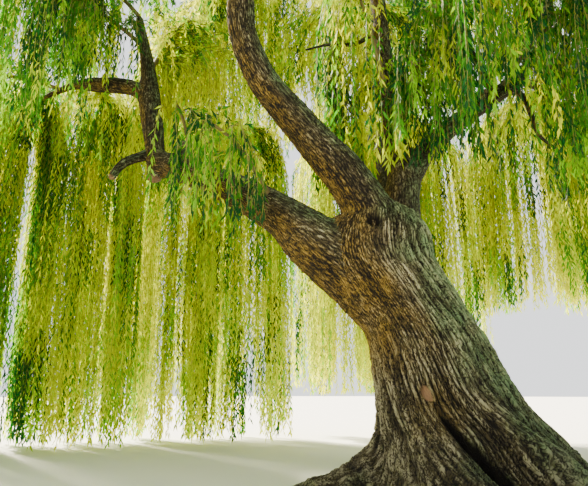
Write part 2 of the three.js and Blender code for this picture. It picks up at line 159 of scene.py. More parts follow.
# The masses of foliage: limb, share along it, then the stem's direction, distance from the crown's
# axis, height and arch, the bottom of the whips, how far they spread, and whether the mass is inner
MASSES = {
    "curtain_left_end": ("left_side_bough", 1, 143.5, 7.5, 6.5, 0.6, 0.15, 0.8, 0),
    "curtain_left": ("left_side_bough", 0.55, 129, 6.9, 6.3, 0.6, 0.13, 0.75, 0),
    "curtain_back_left": ("left_back_bough", 1, 115, 6.7, 6.7, 0.6, 0.13, 1.0, 0),
    "curtain_back_inner": ("left_back_bough", 0.6, 100, 6.4, 6.9, 0.8, 0.13, 1.0, 0),
    "curtain_back": ("back_bough", 1, 84, 7.4, 7.1, 0.7, 1.0, 1.25, 0),
    "curtain_back_right": ("back_bough", 0.72, 66, 7.2, 6.9, 1, 2, 1.25, 0),
    "curtain_right_back": ("right_outer_bough", 1, 48, 7.2, 6.7, 0.7, 2.6, 1.25, 0),
    "curtain_right": ("right_outer_bough", 0.55, 28, 7.2, 6.6, 0.9, 2.5, 1.25, 0),
    "curtain_right_side": ("right_bough", 0.78, 6, 7.1, 6.4, 0.8, 2.4, 1.4, 0),
    "curtain_front_right_side": ("front_right_bough", 1, -18, 7.7, 5.9, 0.8, 2.2, 1.4, 0),
    "curtain_front_right": ("front_right_bough", 0.85, -42, 7.3, 6.2, 0.6, 2.3, 1.4, 0),
    "curtain_front_right_end": ("front_right_bough", 0.6, -67, 7.7, 6, 0.9, 2.3, 1.4, 0),
    "curtain_front": ("front_bough", 1, -93, 7.2, 6.8, 0.9, 2.5, 1.4, 0),
    "curtain_front_left": ("front_bough", 0.75, -118, 7.9, 5.9, 1.1, 2.1, 1.4, 0),
    "curtain_left_front": ("front_left_bough", 0.9, -143, 7.3, 6.2, 0.5, 1.7, 1.4, 0),
    "curtain_left_side": ("front_left_bough", 1, -168, 7.7, 6, 0.8, 0.9, 1.4, 0),
    "curtain_left_outer": ("left_side_bough", 0.85, 167, 7.5, 6.0, 0.5, 0.4, 1.15, 0),
    "tier_left": ("left_upright_bough", 1, 155, 5.7, 8.5, 0.9, 6.0, 1.5, 0),
    "tier_back_left": ("high_back_left_bough", 1, 108, 5.2, 9.3, 0.7, 6.4, 1.6, 0),
    "tier_back_right": ("high_back_right_bough", 1, 60, 5.4, 9.1, 0.7, 6.3, 1.7, 0),
    "tier_right": ("right_bough", 1, 20, 5.4, 8.7, 0.9, 6.4, 1.6, 0),
    "tier_front_right": ("front_right_bough", 0.45, -33, 5.7, 8.8, 1.3, 6.5, 1.5, 0),
    "tier_front": ("front_bough", 0.5, -82, 5, 9.4, 1.2, 6.5, 1.5, 0),
    "tier_front_left": ("front_left_bough", 0.55, -133, 5.8, 8.4, 1.4, 6.4, 1.5, 0),
    "tier_far_left": ("front_left_bough", 0.7, -175, 5.3, 9.1, 0.9, 6.2, 1.4, 0),
    "crest_right": ("leader", 0.94, 24, 3.9, 10.6, 1.1, 7.9, 1.6, 0),
    "crest_back": ("leader", 0.92, 84, 4.2, 10.3, 1.5, 7.4, 1.6, 0),
    "crest_left": ("leader", 0.96, 142, 4.6, 9.5, 1.9, 7.1, 1.6, 0),
    "crest_front_left": ("leader", 0.9, -120, 3.4, 10.8, 1, 7.9, 1.5, 0),
    "crest_front_right": ("leader", 0.88, -48, 4.7, 9.6, 1.9, 7.5, 1.5, 0),
    "crest_top": ("leader", 1, -150, 1.5, 11.8, 0.9, 9.4, 1.6, 0),
    "spray_left_limb": ("left_limb", 0.72, -172, 1.78, 4.45, 0.25, 3.05, 0.5, 1),
    "spray_leader": ("leader", 0.42, -40, 2.3, 5.6, 0.5, 3.5, 0.65, 1),
    "spray_right_bough": ("right_bough", 0.45, -14, 3.5, 5.6, 0.5, 3.6, 0.7, 1),
    "tier_upright": ("left_upright_bough", 0.7, 128, 3.7, 8, 0.5, 4.9, 1.4, 1),
    "tier_back": ("leader", 0.72, 86, 5.5, 8.6, 0.9, 6.2, 1.4, 0),
    "spray_upright": ("left_upright_bough", 0.85, -178, 4.2, 6.5, 0.4, 4.4, 0.8, 1),
    "spray_middle": ("leader", 0.46, -30, 0.55, 6.3, 0.35, 3.5, 0.75, 1),
    "spray_over_limb": ("left_limb", 0.4, -139, 1.6, 3.8, 0.35, 2.7, 0.45, 1),
    "spray_rising": ("right_rising_bough", 0.85, -9, 3.25, 7.3, 0.3, 5.7, 0.9, 1),
    "crest_far_left": ("leader", 0.84, -163, 4.4, 10.1, 1.2, 8.2, 1.4, 0),
}
STEM_BARE = 0.28 # the share of a stem next to its limb that carries no whips
FINE_BARE = 0.14 # the same, for the side shoots and for the finer whips of the masses above the curtains
CURTAIN_LOW = 2.65 # a curtain's whips end lower than this
STEM_RADII = (0.038, 0.016) # at its limb and at its end
SOURCE_WHIPS = 5 # on each stem in the solids, and one more on its end

UP = np.array([0.0, 0.0, 1.0])
FAR_OFF = 9.0 # further away than anything that counts


# Seeded numbers, noise and curves

# The hash: its factors, as in the part's source, and how many numbers it can give
HASH_FACTORS = (73856093, 19349663, 83492791)
MIX_FACTORS = (2246822507, 3266489909)
HASH_RANGE = 2.0 ** 32
# How far apart in the hash the seeds of a noise, the seeds of cells and a cell's three axes lie
NOISE_STEP = 131
CELL_STEP = 977
AXIS_STEP = 57
NOISE_GAIN = 1.3 # brings the noise to about -1 to 1


def mixed(h):
    """The last steps of the hash, on 32-bit numbers."""
    h = (h ^ (h >> np.uint32(16))) * np.uint32(MIX_FACTORS[0])
    h = (h ^ (h >> np.uint32(13))) * np.uint32(MIX_FACTORS[1])
    return h ^ (h >> np.uint32(16))


def hashed(a, b, c):
    """One 32-bit number for each set of three whole numbers."""
    with np.errstate(over="ignore"):
        a, b, c = (np.asarray(v).astype(np.int64).astype(np.uint32) * np.uint32(factor)
                   for v, factor in zip((a, b, c), HASH_FACTORS))
        return mixed(a ^ b ^ c)


def draw(seed, i, k):
    """A seeded number from 0 to 1 for draw k of thing i, the same as in the part's source."""
    return hashed(np.asarray(seed) + 1, np.asarray(i) + 1, np.asarray(k) + 1) / HASH_RANGE


def lattice_noise(p, seed):
    """Smooth noise of about -1 to 1 at points p, whose unit is the size of one bump."""
    cell = np.floor(p).astype(np.int64)
    f = p - cell
    share = f * f * f * (f * (f * 6 - 15) + 10)
    total = np.zeros(len(p))
    for corner in range(8):
        step = np.array([corner & 1, corner >> 1 & 1, corner >> 2 & 1])
        weight = np.prod(np.where(step, share, 1 - share), axis=1)
        at = cell + step
        bits = hashed(at[:, 0] + NOISE_STEP * seed, at[:, 1], at[:, 2])
        # Ten bits for each part of the slope, which runs from -1 to 1
        parts = [bits >> np.uint32(shift) & np.uint32(1023) for shift in (0, 10, 20)]
        slope = np.stack(parts, axis=1) / 511.5 - 1
        total += weight * (slope * (f - step)).sum(axis=1)
    return NOISE_GAIN * total


def cell_edges(p, seed):
    """How far points p are from the edge between two cells: 0 on it, near 1 in a cell's middle."""
    cell = np.floor(p).astype(np.int64)
    first = np.full(len(p), FAR_OFF)
    second = np.full(len(p), FAR_OFF)
    for step in np.ndindex(3, 3, 3):
        at = cell + step - 1
        bits = [hashed(at[:, 0] + CELL_STEP * seed, at[:, 1] + AXIS_STEP * k, at[:, 2]) for k in range(3)]
        centre = at + np.stack(bits, axis=1) / HASH_RANGE
        away = np.sqrt(((p - centre) ** 2).sum(axis=1))
        second = np.minimum(second, np.maximum(first, away))
        first = np.minimum(first, away)
    return second - first


def smooth(low, high, value):
    """0 below low, 1 above high, and an even curve between."""
    t = np.clip((value - low) / (high - low), 0, 1)
    return t * t * (3 - 2 * t)


def curve(points, t):
    """Points at shares t along the curve through the given points, as the part's source draws it."""
    q = np.asarray(points, float)
    q = np.vstack([2 * q[:1] - q[1:2], q, 2 * q[-1:] - q[-2:-1]])
    place = np.clip(np.asarray(t, float), 0, 1) * (len(q) - 3)
    i = np.minimum(np.floor(place).astype(int), len(q) - 4)
    w = (place - i)[..., None]
    a, b, c, d = (q[i + k] for k in range(4))
    tangent_b, tangent_c = 0.5 * (c - a), 0.5 * (d - b)
    return ((2 * b - 2 * c + tangent_b + tangent_c) * w ** 3
            + (-3 * b + 3 * c - 2 * tangent_b - tangent_c) * w ** 2 + tangent_b * w + b)


def along(values, t):
    """A value that runs in straight steps through a list, at shares t."""
    return np.interp(np.clip(t, 0, 1) * (len(values) - 1), np.arange(len(values)), values)


def unit(v):
    """Vectors of length 1."""
    return v / np.maximum(np.linalg.norm(v, axis=-1, keepdims=True), 1e-9)


# The wood's shape

DISTANCE_STEPS = 90 # along a limb, to find how far away it is
MARK_STEPS = 60 # the same, along a mark on the trunk
LENGTH_STEPS = 200 # along a limb, to measure it
LEAST_AROUND = 14 # points round a limb
LEAST_ROWS = 24 # rows of points along it
ROW_STRETCH = 1.35 # how much further apart its rows are than the points of a row


def trunk_section(z):
    """The trunk's middle, half width and half depth at heights z, on smooth curves."""
    heights = TRUNK_SECTIONS[:, 0]
    place = np.interp(z, heights, np.arange(len(heights))) / (len(heights) - 1)
    made = curve(TRUNK_SECTIONS[:, 1:], place)
    return made[..., 0], made[..., 1], made[..., 2], made[..., 3]


def trunk_flare(z, angle):
    """How far the root flare and its flutes stand out, as in the part's source."""
    twist = TRUNK_TWIST * (1 - np.exp(-z / TWIST_HEIGHT))
    reach = np.zeros(np.broadcast(z, angle).shape)
    for degrees, out, half, tall in BUTTRESSES:
        turn = angle + twist - math.radians(degrees)
        lobe = np.exp(-((np.arctan2(np.sin(turn), np.cos(turn)) / half) ** 2))
        reach = reach + lobe * (out * np.exp(-z / tall) + FLUTE_DEPTH * np.exp(-z / FLUTE_HEIGHT))
    return reach


def trunk_distance(p):
    """About how far points are outside the trunk's plain surface."""
    z = np.clip(p[:, 2], 0, TRUNK_TOP)
    x, y, wide, deep = trunk_section(z)
    dx, dy = p[:, 0] - x, p[:, 1] - y
    angle = np.arctan2(dy / deep, dx / wide)
    reach = trunk_flare(z, angle)
    radius = np.hypot((wide + reach) * np.cos(angle), (deep + reach) * np.sin(angle))
    away = np.hypot(np.hypot(dx, dy) - radius, np.maximum(p[:, 2] - TRUNK_TOP, 0))
    inside = (np.hypot(dx, dy) < radius) & (p[:, 2] < TRUNK_TOP)
    return np.where(inside, -away, away)


def limb_distance(p, name):
    """About how far points are outside a limb's plain surface."""
    if name == "trunk":
        return trunk_distance(p)
    route, radii, _ = LIMBS[name]
    t = np.linspace(0, 1, DISTANCE_STEPS)
    best = np.full(len(p), FAR_OFF)
    for at, radius in zip(curve(route, t), along(radii, t)):
        best = np.minimum(best, np.linalg.norm(p - at, axis=1) - radius)
    return best


def swell(p, name, fillet):
    """How far a limb's surface swells to meet its neighbours in a smooth collar."""
    grows_from = {limb: row[2] for limb, row in LIMBS.items()}
    root = grows_from.get(name)
    near = [root] if root else []
    near += [limb for limb in LIMBS if grows_from[limb] == name]
    near += [limb for limb in LIMBS if grows_from[limb] == root and limb != name]
    out = np.zeros(len(p))
    for other in near:
        away = np.abs(limb_distance(p, other))
        out += fillet / 4 * np.clip(1 - away / fillet, 0, 1) ** 2
    return np.minimum(out, fillet / 3)


def plated_bark(grain, plate, stretch, slant, seed):
    """The height of bark from 0 in a furrow to 1 on a ridge: plates drawn out along the grain that part
    and join again. slant turns them round the limb, in radians a metre."""
    turn = slant * grain[:, 2]
    x = grain[:, 0] * np.cos(turn) - grain[:, 1] * np.sin(turn)
    y = grain[:, 0] * np.sin(turn) + grain[:, 1] * np.cos(turn)
    p = np.stack([x, y, grain[:, 2]], axis=1)
    # Broad bends and small ones: how many plates wide they are, and how far they carry a plate
    for size, far in ((5.0, 1.1), (1.7, 0.4)):
        place = grain / (size * plate * np.array([1, 1, 0.45 * stretch]))
        for k, share in enumerate((1, 1, 1.5)):
            p[:, k] += share * far * plate * lattice_noise(place, seed + 3 * k)
    small = cell_edges(p / (plate * np.array([1, 1, stretch])), seed)
    worn = smooth(-0.5, 0.5, lattice_noise(grain / (5 * plate), seed + 9))
    rough = lattice_noise(grain / (0.02, 0.02, 0.045), seed + 7)
    ridge = smooth(0.0, 0.26, small) * (0.75 + 0.25 * smooth(0.1, 0.7, small))
    return np.clip(0.3 * worn + (1 - 0.3 * worn) * ridge + 0.09 * rough, 0, 1)


def ridged_bark(grain, turn, ridges, seed):
    """The height of bark with long ridges up the trunk, which wander, split and join, from 0 to 1."""
    slow, quick = grain / (0.3, 0.3, 0.8), grain / (0.07, 0.07, 0.26)
    height = np.ones(len(grain))
    # The main furrows, and shallower ones that slant across them: seed, slant and lowest height
    for k, slant, least in ((0, 0.6, 0.0), (1, -5.0, 0.45)):
        wind = 3.8 * lattice_noise(slow + 9.3 * k, seed + k)
        wind += 1.9 * lattice_noise(quick + 5.1 * k, seed + 2 + k)
        wave = np.abs(np.sin(0.5 * ridges * turn + slant * grain[:, 2] + wind))
        height = np.minimum(height, least + (1 - least) * smooth(0.0, 0.55, wave))
    deep = smooth(-0.45, 0.35, lattice_noise(grain / (0.32, 0.32, 0.9), seed + 5))
    return 1 - (1 - height) * (0.45 + 0.55 * deep)


def mesh_object(name, points, faces, values):
    """A mesh object from arrays. values gives each named attribute: one number or three a point."""
    sides = faces.shape[1]
    mesh = bpy.data.meshes.new(name)
    mesh.vertices.add(len(points))
    mesh.vertices.foreach_set("co", np.ascontiguousarray(points, np.float32).ravel())
    mesh.loops.add(faces.size)
    mesh.loops.foreach_set("vertex_index", np.ascontiguousarray(faces, np.int32).ravel())
    mesh.polygons.add(len(faces))
    mesh.polygons.foreach_set("loop_start", np.arange(0, faces.size, sides, dtype=np.int32))
    for key, value in values.items():
        if value.ndim == 2:
            made = mesh.attributes.new(key, "FLOAT_VECTOR", "POINT")
            made.data.foreach_set("vector", np.ascontiguousarray(value, np.float32).ravel())
        else:
            made = mesh.attributes.new(key, "FLOAT", "POINT")
            made.data.foreach_set("value", np.ascontiguousarray(value, np.float32))
    mesh.update(calc_edges=True)
    piece = bpy.data.objects.new(name, mesh)
    bpy.context.scene.collection.objects.link(piece)
    return piece


def ring_corners(rows, around):
    """The four corners of every face between two rings of a tube, as numbers of its points."""
    ring = np.arange(around)
    after = (ring + 1) % around
    row = np.arange(rows - 1)[:, None] * around
    return row + ring, row + after, row + around + after, row + around + ring


def tube_faces(rows, around):
    """The triangles of a tube of rings and the two poles that close it, which come after the rings."""
    a, b, c, d = ring_corners(rows, around)
    sides = np.stack([np.stack([a, b, c], -1), np.stack([a, c, d], -1)], 2).reshape(-1, 3)
    start, end = rows * around, rows * around + 1
    ring, after = a[0], b[0]
    last = (rows - 1) * around
    low = np.stack([np.full(around, start), after, ring], 1)
    high = np.stack([np.full(around, end), last + ring, last + after], 1)
    return np.vstack([sides, low, high])


def grid_normals(points):
    """Outward normals of a tube's rings, from the rings themselves."""
    across = np.roll(points, -1, axis=1) - np.roll(points, 1, axis=1)
    lengthwise = np.gradient(points, axis=0)
    return unit(np.cross(across, lengthwise))


def level_frames(spine):
    """Two directions across a route at each of its points, carried along it without a twist."""
    ahead = unit(np.gradient(spine, axis=0))
    side = np.cross(ahead[0], (0, 1, 0) if abs(ahead[0][2]) > 0.8 else (0, 0, 1))
    sides = []
    for direction in ahead:
        side = unit(side - direction * (side @ direction))
        sides.append(side)
    sides = np.array(sides)
    return ahead, sides, np.cross(ahead, sides)


def ring_frames(spine, around):
    """The way ahead along a route, the angles of a ring, the ways out round it, and the route's measure."""
    ahead, side, other = level_frames(spine)
    angle = np.linspace(0, 2 * math.pi, around, endpoint=False)
    ring = np.cos(angle)[None, :, None] * side[:, None, :] + np.sin(angle)[None, :, None] * other[:, None, :]
    measure = np.concatenate([[0], np.cumsum(np.linalg.norm(np.diff(spine, axis=0), axis=1))])
    return ahead, angle, ring, measure


def outward_normals(rings, ring):
    """The normals of a tube's rings, as a list, turned the way that the rings go out."""
    normals = grid_normals(rings)
    if (normals * ring).sum() < 0:
        normals = -normals
    return normals.reshape(-1, 3)


def wound_grain(wide, angle, measure):
    """Places that follow the wood's grain: round the limb, at a width for each ring, and along it."""
    turned = np.tile(angle, len(wide))
    wide, measure = (np.repeat(value, len(angle)) for value in (wide, measure))
    return np.stack([wide * np.cos(turned), wide * np.sin(turned), measure], axis=1)


BARK_VALUES = ("grain", "furrow", "warm_light", "moss", "bare") # what the bark's material reads at each point


def shell(rows, around, points, *values):
    """A tube's points, bark values and faces, from rings of them, with a pole that closes each end."""
    closed = []
    for value in (points, *values):
        rings = value.reshape(rows, around, *value.shape[1:])
        closed.append(np.concatenate([value, rings[:1].mean(axis=1), rings[-1:].mean(axis=1)]))
    return closed[0], dict(zip(BARK_VALUES, closed[1:])), tube_faces(rows, around)


def bark_tones(points, normals, furrow):
    """Where the bark is tinted warm brown as painted warm light, and where it is grey-green with moss, from
    the way it faces.
    """
    patches = lattice_noise(points / 0.35, PATCH_SEED)
    # Painted warm light: bark that faces down and to the left, from about a metre up, is tinted warm brown
    low_side = normals @ unit(np.array([-0.75, -0.1, -0.65]))
    high_side = normals @ unit(np.array([0.75, -0.3, 0.6]))
    warm_light = smooth(-0.1, 0.75, low_side + 0.35 * patches) * smooth(0.7, 1.7, points[:, 2])
    moss = smooth(0.1, 0.95, high_side + 0.4 * patches) * (0.4 + 0.6 * furrow)
    return warm_light, moss


def trunk_rings(around, rows):
    """The trunk's plain surface, in level rings."""
    z = TRUNK_TOP * np.linspace(0, 1, rows) ** 1.12 # a little closer together at the foot
    angle = np.linspace(0, 2 * math.pi, around, endpoint=False)
    x, y, wide, deep = trunk_section(z)
    dome = np.clip((z - DOME_FROM) / (TRUNK_TOP - DOME_FROM), 0, 1)
    dome = np.sqrt(np.clip(1 - dome ** 4, 0.02, 1))
    reach = trunk_flare(z[:, None], angle[None, :])
    half_x = (wide[:, None] + reach) * dome[:, None]
    half_y = (deep[:, None] + reach) * dome[:, None]
    return np.stack([
        x[:, None] + half_x * np.cos(angle),
        y[:, None] + half_y * np.sin(angle),
        np.repeat(z[:, None], around, axis=1),
    ], axis=-1), z, angle, (x, y)


# How wide the plates of the bark are
TRUNK_PLATE = 0.045
FLANK_PLATE = 0.03
LIMB_PLATE = 0.032
STUB_PLATE = 0.03
TRUNK_RIDGES = 88 # round it
FLANK_RIDGES = 116 # the same, on its upper left flank
LIMB_RIDGE = 0.04 # how far apart a limb's ridges are
# The limbs' bark is painted darker than the trunk's: painted shade
LIMB_PAINTED_SHADE = 0.76 # the limbs' bark against the trunk's
END_PALE = 0.5 # how far the bare wood shows on the weathered end of a lost branch
END_SHARES = (0.93, 0.97) # where along such a branch its end begins
BROKEN_LIMB = "low_left_branch"
STUB_AROUND = 40
STUB_ROWS = 22
DOME_FROM = 2.62 # the height from which the trunk's top rounds off

# How far the trunk's surface moves in and out: long hollows, strands of wood that run up it like ropes,
# lumps, and the ridges of its bark
HOLLOW_DEPTH = 0.044
ROPE_DEPTH = 0.07
LUMP_DEPTH = 0.02
RIDGE_DEPTH = 0.043
FLANK_RIDGE_DEPTH = 0.022

# The seeds of the noise, one for each use
LUMP_SEED = 3
HOLLOW_SEED = 5
WRINKLE_SEED = 6
ROPE_SEED = 7
RAGGED_SEED = 8
TRUNK_LUMP_SEED = 9
TRUNK_SEED = 11
SCAR_SEED = 15
FLANK_SEED = 23
STUB_SEED = 31
DRIFT_SEED = 41
PATCH_SEED = 71

# Marks on the trunk, at their places on its front: the deep fold between two root lobes, the two
# lobes, the bare scar at the fold's head, and the knot hole at the foot of the curved bough
FOLD = np.array([
    (-0.60, -0.54, 0.95), (-0.51, -0.59, 0.81), (-0.435, -0.62, 0.70),
    (-0.345, -0.66, 0.59), (-0.245, -0.70, 0.47), (-0.15, -0.74, 0.365),
    (-0.06, -0.77, 0.26), (0.013, -0.80, 0.18), (0.1, -0.86, 0.0),
])
FOLD_DEPTH = [0.0, 0.05, 0.1, 0.14, 0.17, 0.19, 0.19, 0.18, 0.16]
FOLD_HALF_WIDTH = [0.025, 0.03, 0.035, 0.04, 0.045, 0.052, 0.06, 0.07, 0.08]
# Each lobe: its route, how far it stands out along it, and its half width
LOBES = [
    ([(-0.41, -0.59, 0.98), (-0.22, -0.64, 0.81), (0.02, -0.69, 0.62),
      (0.29, -0.74, 0.43), (0.6, -0.78, 0.2), (0.8, -0.8, 0.0)],
     [0.0, 0.08, 0.15, 0.18, 0.16, 0.1], 0.17),
    ([(-0.72, -0.46, 1.09), (-0.68, -0.51, 0.82), (-0.58, -0.6, 0.57),
      (-0.47, -0.72, 0.37), (-0.36, -0.85, 0.15), (-0.3, -0.9, 0.0)],
     [0.0, 0.03, 0.09, 0.13, 0.15, 0.13], 0.16),
]
SCAR = np.array([-0.575, -0.545, 0.965])
SCAR_SIZE = (0.042, 0.1)
KNOT = np.array([-0.975, -0.33, 2.69])
KNOT_RADIUS = 0.075
KNOB = np.array([-1.06, -0.33, 2.61])
KNOB_RADIUS = 0.075
SCAR_WAY = np.array([-0.45, 0.0, 0.89]) # the way that the scar is long
# How deep or high each mark is
SCAR_DEPTH = 0.02
RIM_HEIGHT = 0.025
HOLE_DEPTH = 0.13
COLLAR_HEIGHT = 0.02
KNOB_HEIGHT = 0.035


def fold_shape(p):
    """How deep the fold is at points, and how high the lips on both its sides are."""
    t = np.linspace(0, 1, MARK_STEPS)
    route, depth, half = curve(FOLD, t), along(FOLD_DEPTH, t), along(FOLD_HALF_WIDTH, t)
    cut = np.zeros(len(p))
    lip = np.zeros(len(p))
    for at, deep, wide in zip(route, depth, half):
        away = np.linalg.norm(p - at, axis=1)
        cut = np.maximum(cut, deep * np.exp(-((away / wide) ** 2)))
        lip = np.maximum(lip, 0.25 * deep * np.exp(-(((away - 2.3 * wide) / (1.1 * wide)) ** 2)))
    for lobe, reach, half in LOBES:
        out = np.zeros(len(p))
        for at, far in zip(curve(lobe, t), along(reach, t)):
            out = np.maximum(out, far * np.exp(-((np.linalg.norm(p - at, axis=1) / half) ** 2)))
        lip += out
    return cut, lip


def trunk_marks(p):
    """How far points belong to the bare scar, its rim, the knot hole, its collar and the knob below it."""
    ahead = unit(SCAR_WAY)
    off = p - SCAR
    far = off @ ahead
    aside = np.linalg.norm(off - far[:, None] * ahead, axis=1)
    scar = np.hypot(aside / SCAR_SIZE[0], far / SCAR_SIZE[1]) + 0.3 * lattice_noise(p / 0.05, SCAR_SEED)
    bare = smooth(1.05, 0.8, scar)
    rim = np.exp(-(((scar - 1.25) / 0.3) ** 2))
    hole = smooth(1.25, 0.35, np.linalg.norm((p - KNOT) / (1, 1.6, 1), axis=1) / KNOT_RADIUS)
    collar = np.exp(-(((np.linalg.norm(p - KNOT, axis=1) / KNOT_RADIUS - 1.7) / 0.5) ** 2))
    knob = np.exp(-((np.linalg.norm(p - KNOB, axis=1) / KNOB_RADIUS) ** 2))
    return bare, rim, hole, collar, knob


def trunk_mesh(around, rows):
    """The trunk with flutes, furrows, fold, scar and knot: points, values and faces."""
    rings, z, angle, (x, y) = trunk_rings(around, rows)
    normals = grid_normals(rings).reshape(-1, 3)
    p = rings.reshape(-1, 3)
    aside = p[:, 0] - np.repeat(x, around)
    back = p[:, 1] - np.repeat(y, around)
    height = np.repeat(z, around)
    measure = np.concatenate([[0], np.cumsum(np.hypot(np.hypot(np.diff(x), np.diff(y)), np.diff(z)))])
    twist = TRUNK_TWIST * (1 - np.exp(-z / TWIST_HEIGHT))
    turned = (angle[None, :] + twist[:, None]).ravel()
    radius = np.hypot(aside, back)
    # The pattern widens towards the foot by less than the trunk does
    spread = 0.6 + 0.45 * (radius - 0.6)
    grain = np.stack([spread * np.cos(turned), spread * np.sin(turned), np.repeat(measure, around)], axis=1)

    # Broad furrows all round, and finer bark on the upper left flank
    flank = smooth(1.15, 1.8, height) * smooth(0.15, -0.45, aside / radius)
    furrow = ridged_bark(grain, turned, TRUNK_RIDGES, TRUNK_SEED)
    furrow *= 0.48 + 0.52 * plated_bark(grain, TRUNK_PLATE, 11.0, 0.0, TRUNK_SEED)
    fine = ridged_bark(grain, turned, FLANK_RIDGES, FLANK_SEED)
    fine *= 0.2 + 0.8 * plated_bark(grain, FLANK_PLATE, 4.5, 0.9, FLANK_SEED)
    furrow = furrow * (1 - flank) + fine * flank
    hollows = lattice_noise(grain / (0.2, 0.2, 1.7), HOLLOW_SEED)
    ropes = 1 - np.abs(lattice_noise(grain / (0.13, 0.13, 1.1), ROPE_SEED))
    lumps = lattice_noise(p / 0.3, TRUNK_LUMP_SEED)
    out = HOLLOW_DEPTH * hollows + ROPE_DEPTH * (ropes - 0.8) * (1 - 0.6 * flank) + LUMP_DEPTH * lumps
    out += (furrow - 0.6) * (RIDGE_DEPTH * (1 - flank) + FLANK_RIDGE_DEPTH * flank)
    out += swell(p, "trunk", 0.2)

    cut, lip = fold_shape(p)
    bare, rim, hole, collar, knob = trunk_marks(p)
    out = (out * (1 - bare) - SCAR_DEPTH * bare + RIM_HEIGHT * rim - cut + lip - HOLE_DEPTH * hole
           + COLLAR_HEIGHT * collar + KNOB_HEIGHT * knob)
    made = p + normals * out[:, None]
    made[:, 2] = np.clip(made[:, 2], 0, None)
    made[:around, 2] = 0

    # The colours: painted shade between the ropes, in the fold and in the hole, and painted warm light on
    # the flank and round the fold
    painted_rope_shade = 0.62 + 0.38 * smooth(0.45, 0.95, ropes)
    # Painted shade: the colour is darker in the fold and in the knot hole
    depth = np.clip(furrow * painted_rope_shade - 0.9 * smooth(0.02, 0.12, cut) - 0.95 * hole, 0, 1)
    warm_light, moss = bark_tones(p, normals, furrow)
    # Painted warm light: more warm brown on the upper left flank and round the upper part of the fold
    warm_light = np.maximum(warm_light, 0.75 * flank)
    warm_light = np.maximum(warm_light, 0.6 * np.exp(-((np.linalg.norm(p - FOLD[1], axis=1) / 0.3) ** 2)))
    points, values, faces = shell(rows, around, made, grain, depth, warm_light, moss, bare)
    points[-2] = (x[0], y[0], 0)
    return points, values, faces


def limb_mesh(name, spacing):
    """A limb with furrowed bark and a collar at its root: points, values and faces."""
    route, radii, _ = LIMBS[name]
    guess = curve(route, np.linspace(0, 1, LENGTH_STEPS))
    length = np.linalg.norm(np.diff(guess, axis=0), axis=1).sum()
    thick = max(radii)
    around = max(LEAST_AROUND, int(2 * math.pi * thick / spacing))
    rows = max(LEAST_ROWS, int(length / (spacing * ROW_STRETCH)))
    t = np.linspace(0, 1, rows)
    spine = curve(route, t)
    radius = curve(np.array(radii)[:, None], t)[:, 0]
    # The end rounds off over a little more than its own radius
    tip = np.clip((t - 1) * length / (1.2 * radii[-1]) + 1, 0, 1)
    radius = radius * np.sqrt(np.clip(1 - tip ** 2, 0.03, 1))
    _, angle, ring, measure = ring_frames(spine, around)
    rings = spine[:, None, :] + radius[:, None, None] * ring
    normals = outward_normals(rings, ring)
    p = rings.reshape(-1, 3)
    grain = wound_grain(np.maximum(radius, 0.4 * thick), angle, measure)

    letters = sum(map(ord, name)) # another pattern for each limb
    seed = letters % 50
    ridges = round(2 * math.pi * thick / LIMB_RIDGE)
    plate = LIMB_PLATE * math.sqrt(thick / 0.3)
    furrow = ridged_bark(grain + 0.1 * seed, np.tile(angle, rows), ridges, seed)
    furrow *= 0.3 + 0.7 * plated_bark(grain, plate, 5.0, 0.5 / thick ** 0.5, seed)
    lumps = lattice_noise(p / (1.6 * thick) + letters, LUMP_SEED)
    wrinkles = lattice_noise(grain / (0.5 * thick, 0.5 * thick, 0.22 * thick), WRINKLE_SEED)
    here = np.repeat(radius, around)
    out = here * (0.07 * lumps + 0.025 * wrinkles) + (furrow - 0.6) * 0.07 * here
    out += swell(p, name, 0.55 * thick) * smooth(0.0, 0.02, here)
    made = p + normals * out[:, None]
    warm_light, moss = bark_tones(p, normals, furrow)
    bare = END_PALE * np.repeat(smooth(*END_SHARES, t), around) * (name == BROKEN_LIMB)
    # The limbs' bark is painted darker than the trunk's, as painted shade
    return shell(rows, around, made, grain, LIMB_PAINTED_SHADE * furrow, warm_light, moss, bare)


def stub_mesh(route, radii, sawn):
    """A short stub of a branch with bark on it, sawn flat or broken at its end."""
    rows, around = STUB_ROWS, STUB_AROUND
    t = np.linspace(0, 1, rows)
    spine, radius = curve(route, t), along(radii, t)
    ahead, angle, ring, measure = ring_frames(spine, around)
    grain = wound_grain(radius, angle, measure)
    furrow = plated_bark(grain, STUB_PLATE, 2.5, 1.0, STUB_SEED)
    # The bark ends a little before the wood does
    radius = radius[:, None] * (1 + 0.16 * (furrow.reshape(rows, around) - 0.5))
    radius = radius * np.where(t[:, None] > 0.985, 0.8, 1)
    rings = spine[:, None, :] + radius[..., None] * ring
    if not sawn:
        ragged = lattice_noise(grain / 0.03, RAGGED_SEED).reshape(rows, around)
        rings += ahead[:, None] * (0.05 * ragged * smooth(0.75, 1, t)[:, None])[..., None]
    p = rings.reshape(-1, 3)
    warm_light, moss = bark_tones(p, outward_normals(rings, ring), furrow)
    bare = END_PALE * np.repeat(smooth(*END_SHARES, t), around)
    return shell(rows, around, p, grain, furrow, warm_light, moss, bare)


def joined(parts):
    """Several sets of points, values and faces as one."""
    first = np.cumsum([0] + [len(points) for points, _, _ in parts[:-1]])
    points = np.concatenate([part[0] for part in parts])
    values = {key: np.concatenate([part[1][key] for part in parts]) for key in parts[0][1]}
    faces = np.concatenate([part[2] + start for part, start in zip(parts, first)])
    return points, values, faces


# The twigs: stems, whips and leaves, by the source's rule and then finer

